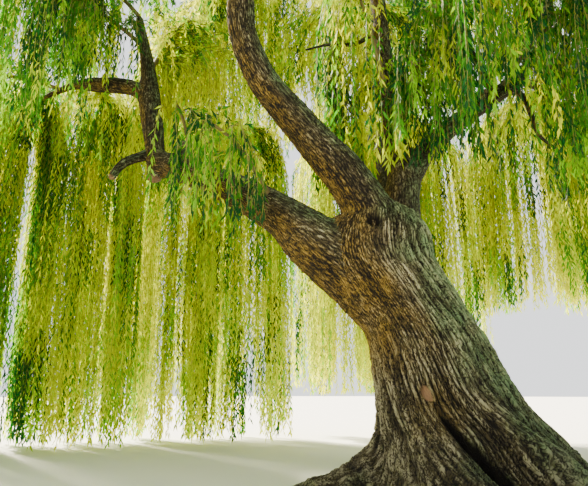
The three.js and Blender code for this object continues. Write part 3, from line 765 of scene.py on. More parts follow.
STEM_ROWS = 13 # points along a stem
WHIP_ROWS = 6 # the same, along a whip
STEM_SIDES = 7
WHIP_SIDES = 3
WHIP_END = 0.3 # of its radius where it begins
SHOOT_END = 0.4
SHOOT_THIN = 0.6 # a shoot's radius against a whip's
ROPE = 5 # whips that hang together as one strand
SHORTER = (0, 0.25, 0.5, 0.7) # by how much of its length a whip gives way to another mass or a limb
SHORTEST = 0.45 # a whip that would hang down less than this is left out
HANG_SHARES = (0.42, 0.72) # where a hanging whip bends
MINGLING = 0.32 # how far fine whips may hang into the next mass's space
# Boughs that show through the foliage: from which share of their length to which, and how often a whip
# or shoot before them gives way
SHOWN = {"leader": (0.6, 1, 0.9), "thin_branch": (0, 1, 0.9), "right_bough": (0.1, 1, 0.35),
         "right_hooked_branch": (0, 1, 0.9), "left_side_bough": (0, 1, 0.95),
         "left_upright_bough": (0, 0.8, 0.9), "low_left_branch": (0, 1, 0.95)}
SIGHT_MARGIN = 0.05 # beside such a bough
SPRAYS = 5 # along each strand, for the leaves' tones
SHOOT_RISE = 0.42
SHOOT_DROOP = 0.5
LEAF_TURN = 2.4 # radians round the whip from each leaf to the next
LEAF_LEAN = (16, 52) # degrees out from the whip
LEAF_DROOP = 0.45
LEAF_CORNERS = 4
SHOOT_CLOSER = 0.62 # the spacing of its leaves against a whip's
SHOOT_STRANDS = 500 # the number from which shoots are told apart, past those of the strands
# Where in the hash the draws for whips, shoots, their leaves and their tones begin
WHIP_DRAWS = 1000
SHOOT_DRAWS = 2000
SHOOT_LEAF_DRAWS = 100
TONE_DRAWS = 3000
SPINE_SHARES = np.linspace(0, 1, 61)
SPINES = {name: curve(row[0], SPINE_SHARES) for name, row in LIMBS.items()}
SPINE_RADII = {name: along(row[1], SPINE_SHARES) for name, row in LIMBS.items()}


def stem_route(name):
    """A mass's stem from its limb to its end, bowed by its arch."""
    limb, share, degrees, far, high, arch = MASSES[name][:6]
    turn = math.radians(degrees)
    start = curve(LIMBS[limb][0], share)
    end = np.array([*(CROWN_AXIS + (far * math.cos(turn), far * math.sin(turn))), high])
    middle = (start + end) / 2 + arch * UP
    t = np.linspace(0, 1, STEM_ROWS)[:, None]
    return (1 - t) ** 2 * start + 2 * t * (1 - t) * middle + t * t * end


def on_route(route, share):
    """Points and directions at shares of a route's length."""
    steps = np.linalg.norm(np.diff(route, axis=0), axis=1)
    place = np.concatenate([[0], np.cumsum(steps)]) / steps.sum()
    points = np.stack([np.interp(share, place, route[:, k]) for k in range(3)], axis=-1)
    ahead = np.gradient(route, axis=0)
    directions = np.stack([np.interp(share, place, ahead[:, k]) for k in range(3)], axis=-1)
    return points, unit(directions)


def vault(p):
    """How high the open space under the crown is over points, and 0 beyond it."""
    off = p[..., :2] - CROWN_AXIS
    turn = np.arctan2(off[..., 1], off[..., 0]) - LOW_SIDE
    share = np.linalg.norm(off, axis=-1) / (VAULT_RADIUS - VAULT_SHIFT * np.cos(turn))
    return VAULT_HEIGHT * np.sqrt(np.clip(1 - share ** 2, 0, 1))


def level_ways(turn):
    """Level directions at angles from the right."""
    return np.stack([np.cos(turn), np.sin(turn), 0 * turn], axis=1)


def strands(name, count):
    """Start, shoulder and foot of a mass's strands: the source's whips, then finer ones between."""
    low, spread, inner = MASSES[name][6:]
    seed = list(MASSES).index(name)
    i = np.arange(count)
    # The source's whips come first, spaced out along the whole stem, and the last of them hangs from its
    # end. The finer ones between them are spaced out among themselves.
    own = i <= SOURCE_WHIPS
    last = i == SOURCE_WHIPS
    row = np.where(own, i, i - SOURCE_WHIPS - 1)
    rows = np.where(own, SOURCE_WHIPS, count - SOURCE_WHIPS - 1)
    bare = np.where(own | (low < CURTAIN_LOW), STEM_BARE, FINE_BARE)
    share = bare + (1 - bare) * (row + 0.3 + 0.4 * draw(seed, i, 0)) / rows
    start, ahead = on_route(stem_route(name), np.where(last, 1, share))
    # They reach out to the left and the right in turn, level but for a slight droop
    ahead[:, 2] = 0
    ahead = unit(ahead)
    aside = np.stack([-ahead[:, 1], ahead[:, 0], 0 * ahead[:, 0]], axis=1) * np.where(i % 2, 1, -1)[:, None]
    out = unit(aside + ahead * np.where(last, 6, 0.3)[:, None])
    part = np.where(own, 0.45 + 0.5 * draw(seed, i, 1), 0.08 + 0.87 * draw(seed, i, 1))
    reach = (spread * np.where(last, 0.3, part))[:, None]
    shoulder = start + reach * (out - 0.12 * UP)
    foot = shoulder + 0.1 * reach * out
    # Every third one hangs right down, and none lower than the open space under the crown
    lift = np.where(i % 3, np.where(own, 0.2, 0.06) * (shoulder[:, 2] - low) * draw(seed, i, 2), 0)
    foot[:, 2] = np.maximum(low + lift, 0 if inner else vault(foot))
    return start, shoulder, foot


def clear(name, paths):
    """Which whips keep clear of every limb and hang in their own mass's space, or only just out of it."""
    points = paths[:, 2:].reshape(-1, 3)
    good = np.ones(len(points), bool)
    # A whip's first two points are on its stem or next to it
    for limb, spine in SPINES.items():
        away = np.linalg.norm(points[:, None] - spine, axis=2) - SPINE_RADII[limb] - SAFE_GAP
        good &= away.min(axis=1) > 0
    apart = {}
    for key in MASSES:
        line = on_route(stem_route(key), np.linspace(0.25, 1, 13))[0]
        away = np.linalg.norm(points[:, None, :2] - line[:, :2], axis=2)
        over = points[:, 2] > line[away.argmin(axis=1), 2] + HEADROOM
        under = points[:, 2] < MASSES[key][6] - SAFE_GAP
        apart[key] = np.where((over | under) & (key != name), FAR_OFF, away.min(axis=1))
    for key in MASSES:
        good &= (key == name) | (apart[name] < apart[key] + MINGLING)
    return good.reshape(len(paths), paths.shape[1] - 2).all(axis=1)


def in_sight(paths):
    """How often each route has to give way, because it hangs before a bough that shows."""
    part = np.linspace(0, 1, 4)[:-1, None]
    points = paths[:, :-1, None] + part * np.diff(paths, axis=1)[:, :, None]
    points = points.reshape(-1, 3) - VIEW_FROM
    far = np.linalg.norm(points, axis=1)[:, None]
    most = np.zeros(len(points))
    for limb, (start, end, share) in SHOWN.items():
        shown = slice(int(start * len(SPINES[limb])), int(end * len(SPINES[limb])))
        spine = SPINES[limb][shown] - VIEW_FROM
        away = np.linalg.norm(spine, axis=1)
        along_sight = points @ spine.T / (far * away)
        close = along_sight > np.cos((SPINE_RADII[limb][shown] + SIGHT_MARGIN) / away)
        most = np.maximum(most, share * (close & (far < away)).any(axis=1))
    return most.reshape(len(paths), -1).max(axis=1)


def whips(name, count, wide):
    """The whips of a mass as points along them, and each one's strand."""
    seed = WHIP_DRAWS + list(MASSES).index(name)
    start, shoulder, foot = (np.repeat(v, ROPE, axis=0) for v in strands(name, count))
    strand = np.repeat(np.arange(count), ROPE)
    one = np.arange(len(strand))
    main = one % ROPE == 0
    turn = 2 * math.pi * draw(seed, one, 0)
    far = wide * np.where(main, 0, np.sqrt(draw(seed, one, 1)))
    off = far[:, None] * level_ways(turn)
    from_share = np.where(main, 0, 0.15 + 0.8 * draw(seed, one, 2))[:, None]
    begin = start + from_share * (shoulder - start)
    bend = shoulder + off
    bend[:, 2] -= np.where(main, 0.03, 0.05 + 0.3 * draw(seed, one, 3))
    end = foot + 1.2 * off
    fall = bend[:, 2] - foot[:, 2]
    end[:, 2] = foot[:, 2] + np.where(main, 0, fall * 0.2 * draw(seed, one, 4) ** 2)
    middle = begin + 0.55 * (bend - begin)
    middle[:, 2] = np.maximum(begin[:, 2], bend[:, 2]) + 0.02
    # How far out of line a whip hangs: with its strand, more so the further it falls, and on its own
    sway, own = (
        far_out * np.stack([draw(seed, i, k) - 0.5, draw(seed, i, k + 1) - 0.5, 0 * fall], axis=1)
        for far_out, i, k in ((0.05, strand, 5), (0.09, one, 7)))
    paths = np.zeros((len(strand), WHIP_ROWS, 3))
    kept = np.zeros(len(strand), bool)
    # A whip that doesn't fit is tried again, shorter each time
    for shorter in SHORTER:
        low = end + shorter * (bend - end)
        drop = bend[:, 2:] - low[:, 2:]
        below = bend + 0.12 * (low - bend)
        hang = [bend + share * (low - bend) + math.sin(math.pi * share) * (sway * drop + own)
                for share in HANG_SHARES]
        trial = np.stack([begin, middle, below, *hang, low], axis=1)
        left = np.flatnonzero(~kept & (drop[:, 0] > SHORTEST) & (draw(seed, one, 9) >= in_sight(trial)))
        fits = left[clear(name, trial[left])]
        paths[fits] = trial[fits]
        kept[fits] = True
    return paths[kept], strand[kept]


def shoots(name, count):
    """Short leafy side shoots of a mass, which arch up and out from its stem and then droop, as points
    along them and the strand that each one is told apart by."""
    seed = SHOOT_DRAWS + list(MASSES).index(name)
    one = np.arange(count)
    spread = MASSES[name][7]
    share = FINE_BARE + (1 - FINE_BARE) * (one + draw(seed, one, 0)) / count
    start, ahead = on_route(stem_route(name), share)
    out = level_ways(2 * math.pi * draw(seed, one, 1))
    # Shorter towards the end of the stem
    far = (0.3 + 0.75 * draw(seed, one, 2)) * min(1.0, spread) * np.minimum(1, 0.3 + 2 * (1 - share))
    far = far[:, None]
    rise = (SHOOT_RISE * (draw(seed, one, 3) - 0.25))[:, None] * UP
    droop = (0.1 + SHOOT_DROOP * draw(seed, one, 4))[:, None] * UP
    # Up and out, over, and down
    paths = np.stack([
        start, start + 0.35 * far * out + 0.8 * rise, start + 0.7 * far * out + rise,
        start + far * out + 0.75 * rise - 0.3 * droop, start + 1.12 * far * out + 0.4 * rise - droop,
    ], axis=1)
    kept = clear(name, paths) & (draw(seed, one, 5) >= in_sight(paths))
    return paths[kept], one[kept] // 2


def thin_tubes(paths, radii, sides):
    """Closed tubes round many short routes that all have the same number of points."""
    count, rows, _ = paths.shape
    ahead = unit(np.gradient(paths, axis=1))
    level = np.cross(paths[:, 1] - paths[:, 0], UP)
    level = unit(np.where(np.linalg.norm(level, axis=1, keepdims=True) < 1e-6, (1.0, 0, 0), level))[:, None]
    side = unit(level - ahead * (level * ahead).sum(axis=2, keepdims=True))
    other = np.cross(ahead, side)
    angle = np.arange(sides) * 2 * math.pi / sides
    ring = np.cos(angle)[:, None] * side[:, :, None] + np.sin(angle)[:, None] * other[:, :, None]
    points = (paths[:, :, None] + radii[..., None, None] * ring).reshape(-1, 3)
    a, b, c, d = ring_corners(rows, sides)
    one = np.concatenate([np.stack([a, b, c], -1).reshape(-1, 3), np.stack([a, c, d], -1).reshape(-1, 3)])
    # Each end is closed by a fan from its first corner
    corner, last, after = np.zeros(sides - 2, int), np.arange(1, sides - 1), np.arange(2, sides)
    low = np.stack([corner, after, last], axis=1)
    high = np.stack([corner, last, after], axis=1) + (rows - 1) * sides
    one = np.concatenate([one, low, high])
    faces = (one[None] + (np.arange(count) * rows * sides)[:, None, None]).reshape(-1, 3)
    return points, faces


def tapered(paths, radius, end):
    """The radii along thin tubes, from one radius to a share of it."""
    return radius * np.linspace(1, end, paths.shape[1])[None] * np.ones((len(paths), 1))


def leaves(paths, strand, spacing, length, width, seed):
    """The leaves on whips or shoots: narrow folded kites of two faces, and each one's spray."""
    rng = np.random.default_rng(seed)
    steps = np.linalg.norm(np.diff(paths, axis=1), axis=2)
    total = steps.sum(axis=1)
    count = (total * 0.97 / spacing).astype(int)
    whip = np.repeat(np.arange(len(paths)), count)
    order = np.arange(len(whip)) - np.repeat(np.cumsum(count) - count, count)
    # The leaves begin a little way along, and end before the tip
    measure = 0.05 * total[whip] + (order + rng.uniform(-0.4, 0.4, len(whip))) * spacing
    ends = np.cumsum(steps, axis=1)
    part = np.minimum((measure[:, None] > ends[whip]).sum(axis=1), steps.shape[1] - 1)
    before = np.take_along_axis(ends[whip], np.maximum(part - 1, 0)[:, None], 1)[:, 0]
    before = np.where(part > 0, before, 0)
    share = np.clip((measure - before) / steps[whip, part], 0, 1)[:, None]
    low, high = paths[whip, part], paths[whip, part + 1]
    base = low + share * (high - low)
    ahead = unit(high - low)
    around = order * LEAF_TURN + rng.uniform(-0.5, 0.5, len(whip))
    flat = unit(np.cross(ahead, np.where(np.abs(ahead[:, 2:]) > 0.7, (1.0, 0, 0), (0, 0, 1.0))))
    out = np.cos(around)[:, None] * flat + np.sin(around)[:, None] * np.cross(ahead, flat)
    lean = np.radians(rng.uniform(*LEAF_LEAN, len(whip)))[:, None]
    # A leaf leans out from its whip and hangs down, and turns any way about its own length
    axis = unit(np.cos(lean) * ahead + np.sin(lean) * out - LEAF_DROOP * UP)
    spin = rng.uniform(0, 2 * math.pi, len(whip))[:, None]
    flat = unit(np.cross(axis, out + 1e-3))
    across = np.cos(spin) * flat + np.sin(spin) * np.cross(axis, flat)
    face = np.cross(axis, across)
    size = (length * rng.uniform(0.7, 1.15, len(whip)))[:, None]
    half = 0.5 * width * rng.uniform(0.8, 1.2, len(whip))[:, None]
    widest = base + 0.4 * size * axis + 0.35 * half * face
    tip = base + size * axis - 0.08 * size * UP - 0.05 * size * face
    points = np.stack([base, widest + half * across, tip, widest - half * across], axis=1)
    kept = points[:, :, 2].min(axis=1) > 0.02
    points = points[kept]
    first = np.arange(len(points))[:, None] * LEAF_CORNERS
    faces = np.stack([first + (0, 1, 2), first + (0, 2, 3)], axis=1).reshape(-1, 3)
    spray = strand[whip] * SPRAYS + np.minimum(measure / total[whip] * SPRAYS, SPRAYS - 1).astype(int)
    return points.reshape(-1, 3), faces, spray[kept]


def tones_of(points, spray, weights, seed):
    """Which tone each leaf takes: its spray's, drawn by the weights and drifting from place to place."""
    kinds, first, back = np.unique(spray, return_index=True, return_inverse=True)
    place = points[first * LEAF_CORNERS]
    drift = lattice_noise(place / (0.5, 0.5, 0.8), DRIFT_SEED)
    choice = 0.5 * draw(TONE_DRAWS + seed, kinds, 0) + drift
    rank = (choice.argsort().argsort() + 0.5) / len(choice)
    return np.searchsorted(np.cumsum(weights), np.clip(rank, 0, 0.999))[back]


# Colours and surfaces

def linear(code):
    """A colour written as sRGB hex, as the three linear numbers that Blender takes."""
    parts = [int(code[k:k + 2], 16) / 255 for k in (1, 3, 5)]
    return tuple(v / 12.92 if v <= 0.04045 else ((v + 0.055) / 1.055) ** 2.4 for v in parts)


def add(tree, kind, values=None, **settings):
    """A shader node with its settings, and its inputs each set to a value or joined to an output."""
    made = tree.nodes.new("ShaderNode" + kind)
    for key, value in settings.items():
        setattr(made, key, value)
    for key, value in (values or {}).items():
        if isinstance(value, bpy.types.NodeSocket):
            tree.links.new(value, made.inputs[key])
        else:
            made.inputs[key].default_value = value
    return made


def blank(name):
    """A new material without nodes, and its node tree."""
    made = bpy.data.materials.new(name)
    made.use_nodes = True
    made.node_tree.nodes.clear()
    return made, made.node_tree


def dimmed(colour, share):
    """A colour times a share, for a node."""
    return (*(min(1, share * part) for part in colour), 1)


# The patterns on the surfaces: how far apart their bumps are, in millimetres
BARK_PATTERNS_MM = {
    "bend": 111.11, # how the cracks wander
    "crack": 17.241, # small cracks across the ridges
    "fibre": 10.526, # real fibres are 2 to 3 mm apart, which is too fine to show from here
    "patch": 312.5, # where warm brown and moss come and go
    "broad": 416.67, # paler and darker stretches
}
TWIG_PATCH_MM = 142.86
LEAF_PATCH_MM = 384.62
MM_A_METRE = 1000


# Old willow bark, furrowed and dry: dull, with pale grey-brown ridges over nearly black furrows, whose near
# black is partly painted shade, painted warm light in brown where it faces down and grey-green with moss
# where it faces up
def bark_material(colours):
    """The bark of the trunk and the boughs, from the values at each of their points."""
    made, tree = blank("furrowed willow bark")
    place = add(tree, "TexCoord").outputs["Object"]
    read = {key: add(tree, "Attribute", attribute_name=key) for key in BARK_VALUES}
    grain = read["grain"].outputs["Vector"]
    furrow, warm_light, moss, bare = (read[key].outputs["Fac"] for key in BARK_VALUES[1:])
    scale = {key: MM_A_METRE / apart for key, apart in BARK_PATTERNS_MM.items()}
    paint = {key: (*colour, 1) for key, colour in colours.items()}

    # Cracks and fibres, drawn out along the grain
    long_way = add(tree, "Mapping", {"Vector": grain, "Scale": (1, 1, 0.2)}).outputs[0]
    bend = add(tree, "TexNoise", {"Vector": grain, "Scale": scale["bend"], "Detail": 2})
    bent = add(tree, "VectorMath", {0: bend.outputs["Color"], 1: (0.06, 0.06, 0.06), 2: long_way},
               operation="MULTIPLY_ADD")
    crack = add(tree, "TexNoise", {"Vector": bent.outputs[0], "Scale": scale["crack"], "Detail": 1.5,
                                   "Roughness": 0.5})
    crack = add(tree, "Math", {0: crack.outputs["Fac"], 1: 0.5}, operation="SUBTRACT")
    crack = add(tree, "Math", {0: crack.outputs[0]}, operation="ABSOLUTE")
    crack = add(tree, "MapRange", {"Value": crack.outputs[0], "From Min": 0.0, "From Max": 0.075})
    fibre = add(tree, "TexNoise", {"Vector": long_way, "Scale": scale["fibre"], "Detail": 5,
                                   "Roughness": 0.65})
    patch = add(tree, "TexNoise", {"Vector": place, "Scale": scale["patch"], "Detail": 4, "Roughness": 0.6})
    broad = add(tree, "TexNoise", {"Vector": grain, "Scale": scale["broad"], "Detail": 3, "Roughness": 0.55})

    # The level, from 0 deep in a furrow to 1 on the crest of a ridge, and its colour
    level = add(tree, "Math", {0: crack.outputs[0], 1: 0.46, 2: -0.4}, operation="MULTIPLY_ADD")
    level = add(tree, "Math", {0: level.outputs[0], 1: furrow}, operation="ADD")
    for pattern in (fibre, broad):
        level = add(tree, "Math", {0: pattern.outputs["Fac"], 1: 0.5, 2: level.outputs[0]},
                    operation="MULTIPLY_ADD")
    level = add(tree, "Math", {0: level.outputs[0], 1: 0.5}, operation="SUBTRACT", use_clamp=True)
    ramp = add(tree, "ValToRGB", {"Fac": level.outputs[0]})
    steps = ramp.color_ramp.elements
    # The nearly black at the low end, in the furrows and cracks, is partly the bark's own dark colour and
    # partly painted shade
    steps[0].position, steps[0].color = 0.2, paint["furrow"]
    steps[1].position, steps[1].color = 0.95, paint["ridge"]
    steps.new(0.58).color = paint["plate"]

    # Painted warm light in brown, and moss, on the ridges, in patches
    tone = ramp.outputs[0]
    keen = add(tree, "MapRange", {"Value": level.outputs[0], "From Min": 0.22, "From Max": 0.85})
    for where, colour, low, high in ((warm_light, "warm_light", 0.08, 0.5), (moss, "moss", 0.1, 0.55)):
        share = add(tree, "Math", {0: where, 1: patch.outputs["Fac"]}, operation="MULTIPLY")
        share = add(tree, "MapRange", {"Value": share.outputs[0], "From Min": low, "From Max": high,
                                       "To Max": 0.85})
        tint = add(tree, "Mix", {0: keen.outputs[0], 6: paint["furrow"], 7: paint[colour]}, data_type="RGBA")
        tone = add(tree, "Mix", {0: share.outputs[0], 6: tone, 7: tint.outputs[2]}, data_type="RGBA")
        tone = tone.outputs[2]

    # The bark is darker towards the foot of the trunk
    above = add(tree, "SeparateXYZ", {"Vector": place}).outputs["Z"]
    darker_towards_foot = add(tree, "MapRange", {"Value": above, "From Max": 1.7, "To Min": 0.42})
    tone = add(tree, "Mix", {0: 1.0, 6: tone, 7: darker_towards_foot.outputs[0]}, data_type="RGBA", blend_type="MULTIPLY")
    # Bare wood on scars and weathered ends
    shade = add(tree, "MapRange", {"Value": fibre.outputs["Fac"], "From Min": 0.3, "From Max": 0.7,
                                   "To Min": 0.75})
    wood = add(tree, "Mix", {0: shade.outputs[0], 6: paint["furrow"], 7: paint["bare"]}, data_type="RGBA")
    tone = add(tree, "Mix", {0: bare, 6: tone.outputs[2], 7: wood.outputs[2]}, data_type="RGBA")

    relief = add(tree, "Math", {0: crack.outputs[0], 1: 1.6, 2: fibre.outputs["Fac"]},
                 operation="MULTIPLY_ADD")
    rough = add(tree, "Bump", {"Height": relief.outputs[0], "Distance": 0.005, "Strength": 0.8})
    skin = add(tree, "BsdfPrincipled", {"Base Color": tone.outputs[2], "Roughness": 0.88,
                                        "Normal": rough.outputs[0], "Specular IOR Level": 0.25})
    add(tree, "OutputMaterial", {"Surface": skin.outputs[0]})
    return made


# Thin young bark: smooth with a faint sheen, and darker in places along a twig
def twig_material(name, tone, shine):
    """The bark of stems or of whips."""
    made, tree = blank(name)
    place = add(tree, "TexCoord").outputs["Object"]
    patch = add(tree, "TexNoise", {"Vector": place, "Scale": MM_A_METRE / TWIG_PATCH_MM, "Detail": 4,
                                   "Roughness": 0.7})
    face = add(tree, "Mix", {0: patch.outputs["Fac"], 6: dimmed(tone, 0.55), 7: dimmed(tone, 1.1)},
               data_type="RGBA")
    skin = add(tree, "BsdfPrincipled", {"Base Color": face.outputs[2], "Roughness": 0.6,
                                        "Specular IOR Level": shine})
    add(tree, "OutputMaterial", {"Surface": skin.outputs[0]})
    return made


# A thin willow leaf with a waxy skin: half matt, with its own colour by the light on it, and a yellower
# glow by the light behind it
def leaf_material(name, tone, through):
    """One tone of leaves, duller and brighter in places through the crown."""
    made, tree = blank(name)
    place = add(tree, "TexCoord").outputs["Object"]
    patch = add(tree, "TexNoise", {"Vector": place, "Scale": MM_A_METRE / LEAF_PATCH_MM, "Detail": 5,
                                   "Roughness": 0.7})
    shade = add(tree, "MapRange", {"Value": patch.outputs["Fac"], "From Min": 0.36, "From Max": 0.64})
    face, lit = (
        add(tree, "Mix", {0: shade.outputs[0], 6: dimmed(colour, dull), 7: dimmed(colour, bright)},
            data_type="RGBA")
        for colour, dull, bright in ((tone, 0.6, 1.1), (through, 0.7, 1.25)))
    skin = add(tree, "BsdfPrincipled", {"Base Color": face.outputs[2], "Roughness": 0.5,
                                        "Specular IOR Level": 0.35})
    glow = add(tree, "BsdfTranslucent", {"Color": lit.outputs[2]})
    both = add(tree, "MixShader", {"Fac": 0.62, 1: skin.outputs[0], 2: glow.outputs[0]})
    add(tree, "OutputMaterial", {"Surface": both.outputs[0]})
    return made


# The bark's colours: deep in a furrow, nearly black as it is partly painted shade, on the plates, on the
# crests, then its two tints, painted warm light and moss, and bare wood
BARK = {
    "furrow": linear("#0f0a05"),
    "plate": linear("#4a412b"),
    "ridge": linear("#9f977a"),
    "warm_light": linear("#84671c"),
    "moss": linear("#5e7c54"),
    "bare": linear("#9c7c5c"),
}
# Each leaf tone: the colour of its face, and of the light through it. The five tones are lit and shaded
# copies of one leaf colour, from painted sunlight in the sunlit and lime tones to painted shade in the
# middle and deep green ones
LEAF_TONES = {
    "sunlit willow leaf": (linear("#c4d800"), linear("#ffff00")),
    "sunlit lime willow leaf": (linear("#a4c800"), linear("#e4f800")),
    "half lit fresh willow leaf": (linear("#6aa000"), linear("#a0dc00")),
    "half shaded middle green willow leaf": (linear("#336c0e"), linear("#4a9a0c")),
    "shaded deep green willow leaf": (linear("#123f1e"), linear("#186020")),
}
# How often each tone is dealt to a spray: brighter with painted sunlight where the sun gets in, deeper with
# painted shade near the trunk
BRIGHT = (0.38, 0.32, 0.14, 0.09, 0.07)
MIXED = (0.21, 0.21, 0.2, 0.2, 0.18)
SHADED = (0.04, 0.08, 0.2, 0.36, 0.32)
# Masses that are dealt other tones than their group is
TONES = {
    "tier_upright": BRIGHT, "tier_back_left": BRIGHT, "tier_back": BRIGHT, "crest_back": BRIGHT,
    "curtain_left_end": MIXED, "curtain_right": MIXED, "spray_middle": MIXED,
    "tier_left": SHADED, "tier_far_left": SHADED, "tier_right": SHADED, "tier_back_right": SHADED,
    "curtain_left_outer": SHADED,
}

# Masses with another number of strands than their group has
STRAND_COUNTS = {
    "spray_left_limb": 10, "spray_over_limb": 8, "spray_leader": 30, "spray_upright": 24, "spray_middle": 40,
    "tier_upright": 60, "tier_left": 54, "tier_back_left": 76, "tier_back": 56, "crest_back": 40,
    "curtain_left": 62, "curtain_left_outer": 46, "curtain_back": 68, "curtain_back_right": 64,
    "curtain_right_back": 68,
}
# Masses with another number of shoots than the rest
SHOOT_COUNTS = {
    "spray_left_limb": 10, "spray_over_limb": 8, "spray_upright": 40, "spray_middle": 90,
    "tier_upright": 90, "tier_back": 140, "tier_left": 150, "tier_back_left": 150, "tier_back_right": 150,
    "curtain_left": 190, "curtain_left_end": 150, "curtain_left_outer": 150, "curtain_back_left": 150,
    "curtain_back_inner": 170, "curtain_back": 140, "crest_top": 150,
}

# The boughs and the masses that are joined into one piece each
BOUGH_GROUPS = {
    "left_boughs": ("left_limb", "left_upright_bough", "left_side_bough", "low_left_branch",
                    "left_back_bough"),
    "curved_boughs": ("curved_bough", "front_bough", "front_left_bough"),
    "high_boughs": ("leader", "right_bough", "back_bough", "thin_branch", "right_hooked_branch",
                    "right_rising_bough", "right_outer_bough", "front_right_bough",
                    "high_back_left_bough", "high_back_right_bough"),
}
# Stubs of lost branches on the boughs: route, radii, and whether the end is sawn
STUBS = {
    "left_boughs": (
        ([(-3.9, 2.1, 4.45), (-3.91, 2.06, 4.25), (-3.92, 2.02, 4.06)], [0.13, 0.12, 0.105], True),
        ([(-3.45, 1.75, 4.1), (-3.56, 1.78, 3.88), (-3.55, 1.8, 3.62)], [0.085, 0.07, 0.05], False),
        ([(-2.9, 1.1, 3.72), (-2.98, 1.02, 3.6), (-3.0, 0.96, 3.5)], [0.1, 0.085, 0.07], True),
    ),
    "high_boughs": (
        ([(0.6, 1.0, 4.62), (0.66, 0.84, 4.72), (0.7, 0.74, 4.84)], [0.08, 0.066, 0.055], False),
    ),
}
# How far apart the points of a limb's bark are
LIMB_SPACING = {"left_limb": 0.0125, "curved_bough": 0.0125, "leader": 0.017, "right_bough": 0.017,
                "left_upright_bough": 0.016, "left_side_bough": 0.018}
USUAL_SPACING = 0.024
# Each group of masses: how its tones are dealt, the strands of a mass, and the masses
FOLIAGE_GROUPS = {
    "left": (BRIGHT, 58, ("curtain_left_end", "curtain_left", "curtain_left_outer")),
    "back_left": (BRIGHT, 60, ("curtain_back_left", "curtain_back_inner", "curtain_back")),
    "back_right": (BRIGHT, 54, ("curtain_back_right", "curtain_right_back", "curtain_right")),
    "right": (MIXED, 24, ("curtain_right_side", "curtain_front_right_side", "curtain_front_right",
                          "curtain_front_right_end")),
    "front": (MIXED, 24, ("curtain_front", "curtain_front_left", "curtain_left_front", "curtain_left_side")),
    "back_tiers": (MIXED, 44, ("tier_left", "tier_back_left", "tier_back_right", "tier_right",
                               "tier_upright", "tier_back")),
    "front_tiers": (MIXED, 26, ("tier_front_right", "tier_front", "tier_front_left", "tier_far_left")),
    "crest": (MIXED, 26, ("crest_right", "crest_back", "crest_left", "crest_front_left",
                          "crest_front_right", "crest_top", "crest_far_left")),
    "inner": (SHADED, 30, ("spray_left_limb", "spray_leader", "spray_right_bough", "spray_upright",
                           "spray_middle", "spray_over_limb", "spray_rising")),
}

# The stage: an even light from all round, a warm sun from high up behind on the left, and a soft lamp
# in front
AROUND_COLOUR = linear("#f6f8fa")
AROUND_STRENGTH = 1.9
SUN_FROM = (-12, 14, 20)
SUN_TO = (0, 0, 1)
SUN_STRENGTH = 34
SUN_ANGLE = math.radians(6)
SUN_COLOUR = linear("#fff3da")
LAMP_FROM = (-5.2, -5.2, 3.6)
LAMP_TO = (-0.8, 0, 1.6)
LAMP_WATTS = 140
LAMP_WIDTH = 2.2
FLOOR_RADIUS = 90
CLIP_END = 300


# The add-on: settings, one operator for each kind of piece, and a panel

class WillowSettings(bpy.types.PropertyGroup):
    """Sizes and colours of the willow."""
    trunk_around: IntProperty(name="Trunk round", description="Points round the trunk",
                              default=480, min=48)
    trunk_rows: IntProperty(name="Trunk rows", description="Rows of points up the trunk",
                            default=200, min=24)
    whip_radius: FloatProperty(name="Whip radius", description="Radius where a whip begins",
                               default=0.0075, min=0.001, unit="LENGTH")
    rope_width: FloatProperty(name="Strand", description="How far a strand's whips hang from its middle",
                              default=0.19, min=0.0, unit="LENGTH")
    shoots: IntProperty(name="Shoots", description="Side shoots round the stem of each mass",
                        default=100, min=0)
    leaf_length: FloatProperty(name="Leaf length", description="Length of a leaf",
                               default=0.14, min=0.02, unit="LENGTH")
    leaf_width: FloatProperty(name="Leaf width", description="Width of a leaf",
                              default=0.032, min=0.002, unit="LENGTH")
    leaf_spacing: FloatProperty(name="Leaf spacing", description="Distance between two leaves of a whip",
                                default=0.058, min=0.01, unit="LENGTH")
    ridge: FloatVectorProperty(name="Bark ridges", description="Colour of the bark's ridges", size=3,
                               subtype="COLOR", default=BARK["ridge"])
    stem: FloatVectorProperty(name="Stems", description="Colour of the thin branches", size=3,
                              subtype="COLOR", default=linear("#6f6338"))
    whip: FloatVectorProperty(name="Whips", description="Colour of the hanging whips", size=3,
                              subtype="COLOR", default=linear("#8f8f36"))
    floor: FloatVectorProperty(name="Floor", description="Colour of the floor", size=3,
                               subtype="COLOR", default=linear("#d9d7d0"))


def placed(piece, nodes):
    """Ties a finished piece to the solids that it takes the place of."""
    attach(piece, "root")
    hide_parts(*nodes)


def barked(name, points, values, faces, nodes):
    """A piece with bark on it, in place of its solids."""
    piece = mesh_object(name, points, faces, values)
    piece.data.materials.append(bpy.data.materials["furrowed willow bark"])
    piece.data.shade_smooth()
    placed(piece, nodes)


class WILLOW_OT_trunk(bpy.types.Operator):
    """Make the trunk with its flutes, furrows and marks."""
    bl_idname = "willow.trunk"
    bl_label = "Make the trunk"

    def execute(self, context):
        settings = context.scene.willow
        bark_material(dict(BARK, ridge=settings.ridge))
        barked("trunk_bark", *trunk_mesh(settings.trunk_around, settings.trunk_rows), ["trunk"])
        return {"FINISHED"}


class WILLOW_OT_boughs(bpy.types.Operator):
    """Make the boughs with their furrowed bark and the stubs on them, in three pieces."""
    bl_idname = "willow.boughs"
    bl_label = "Make the boughs"

    def execute(self, context):
        for name, limbs in BOUGH_GROUPS.items():
            parts = [limb_mesh(limb, LIMB_SPACING.get(limb, USUAL_SPACING)) for limb in limbs]
            parts += [stub_mesh(*row) for row in STUBS.get(name, ())]
            barked(name + "_bark", *joined(parts), limbs)
        return {"FINISHED"}


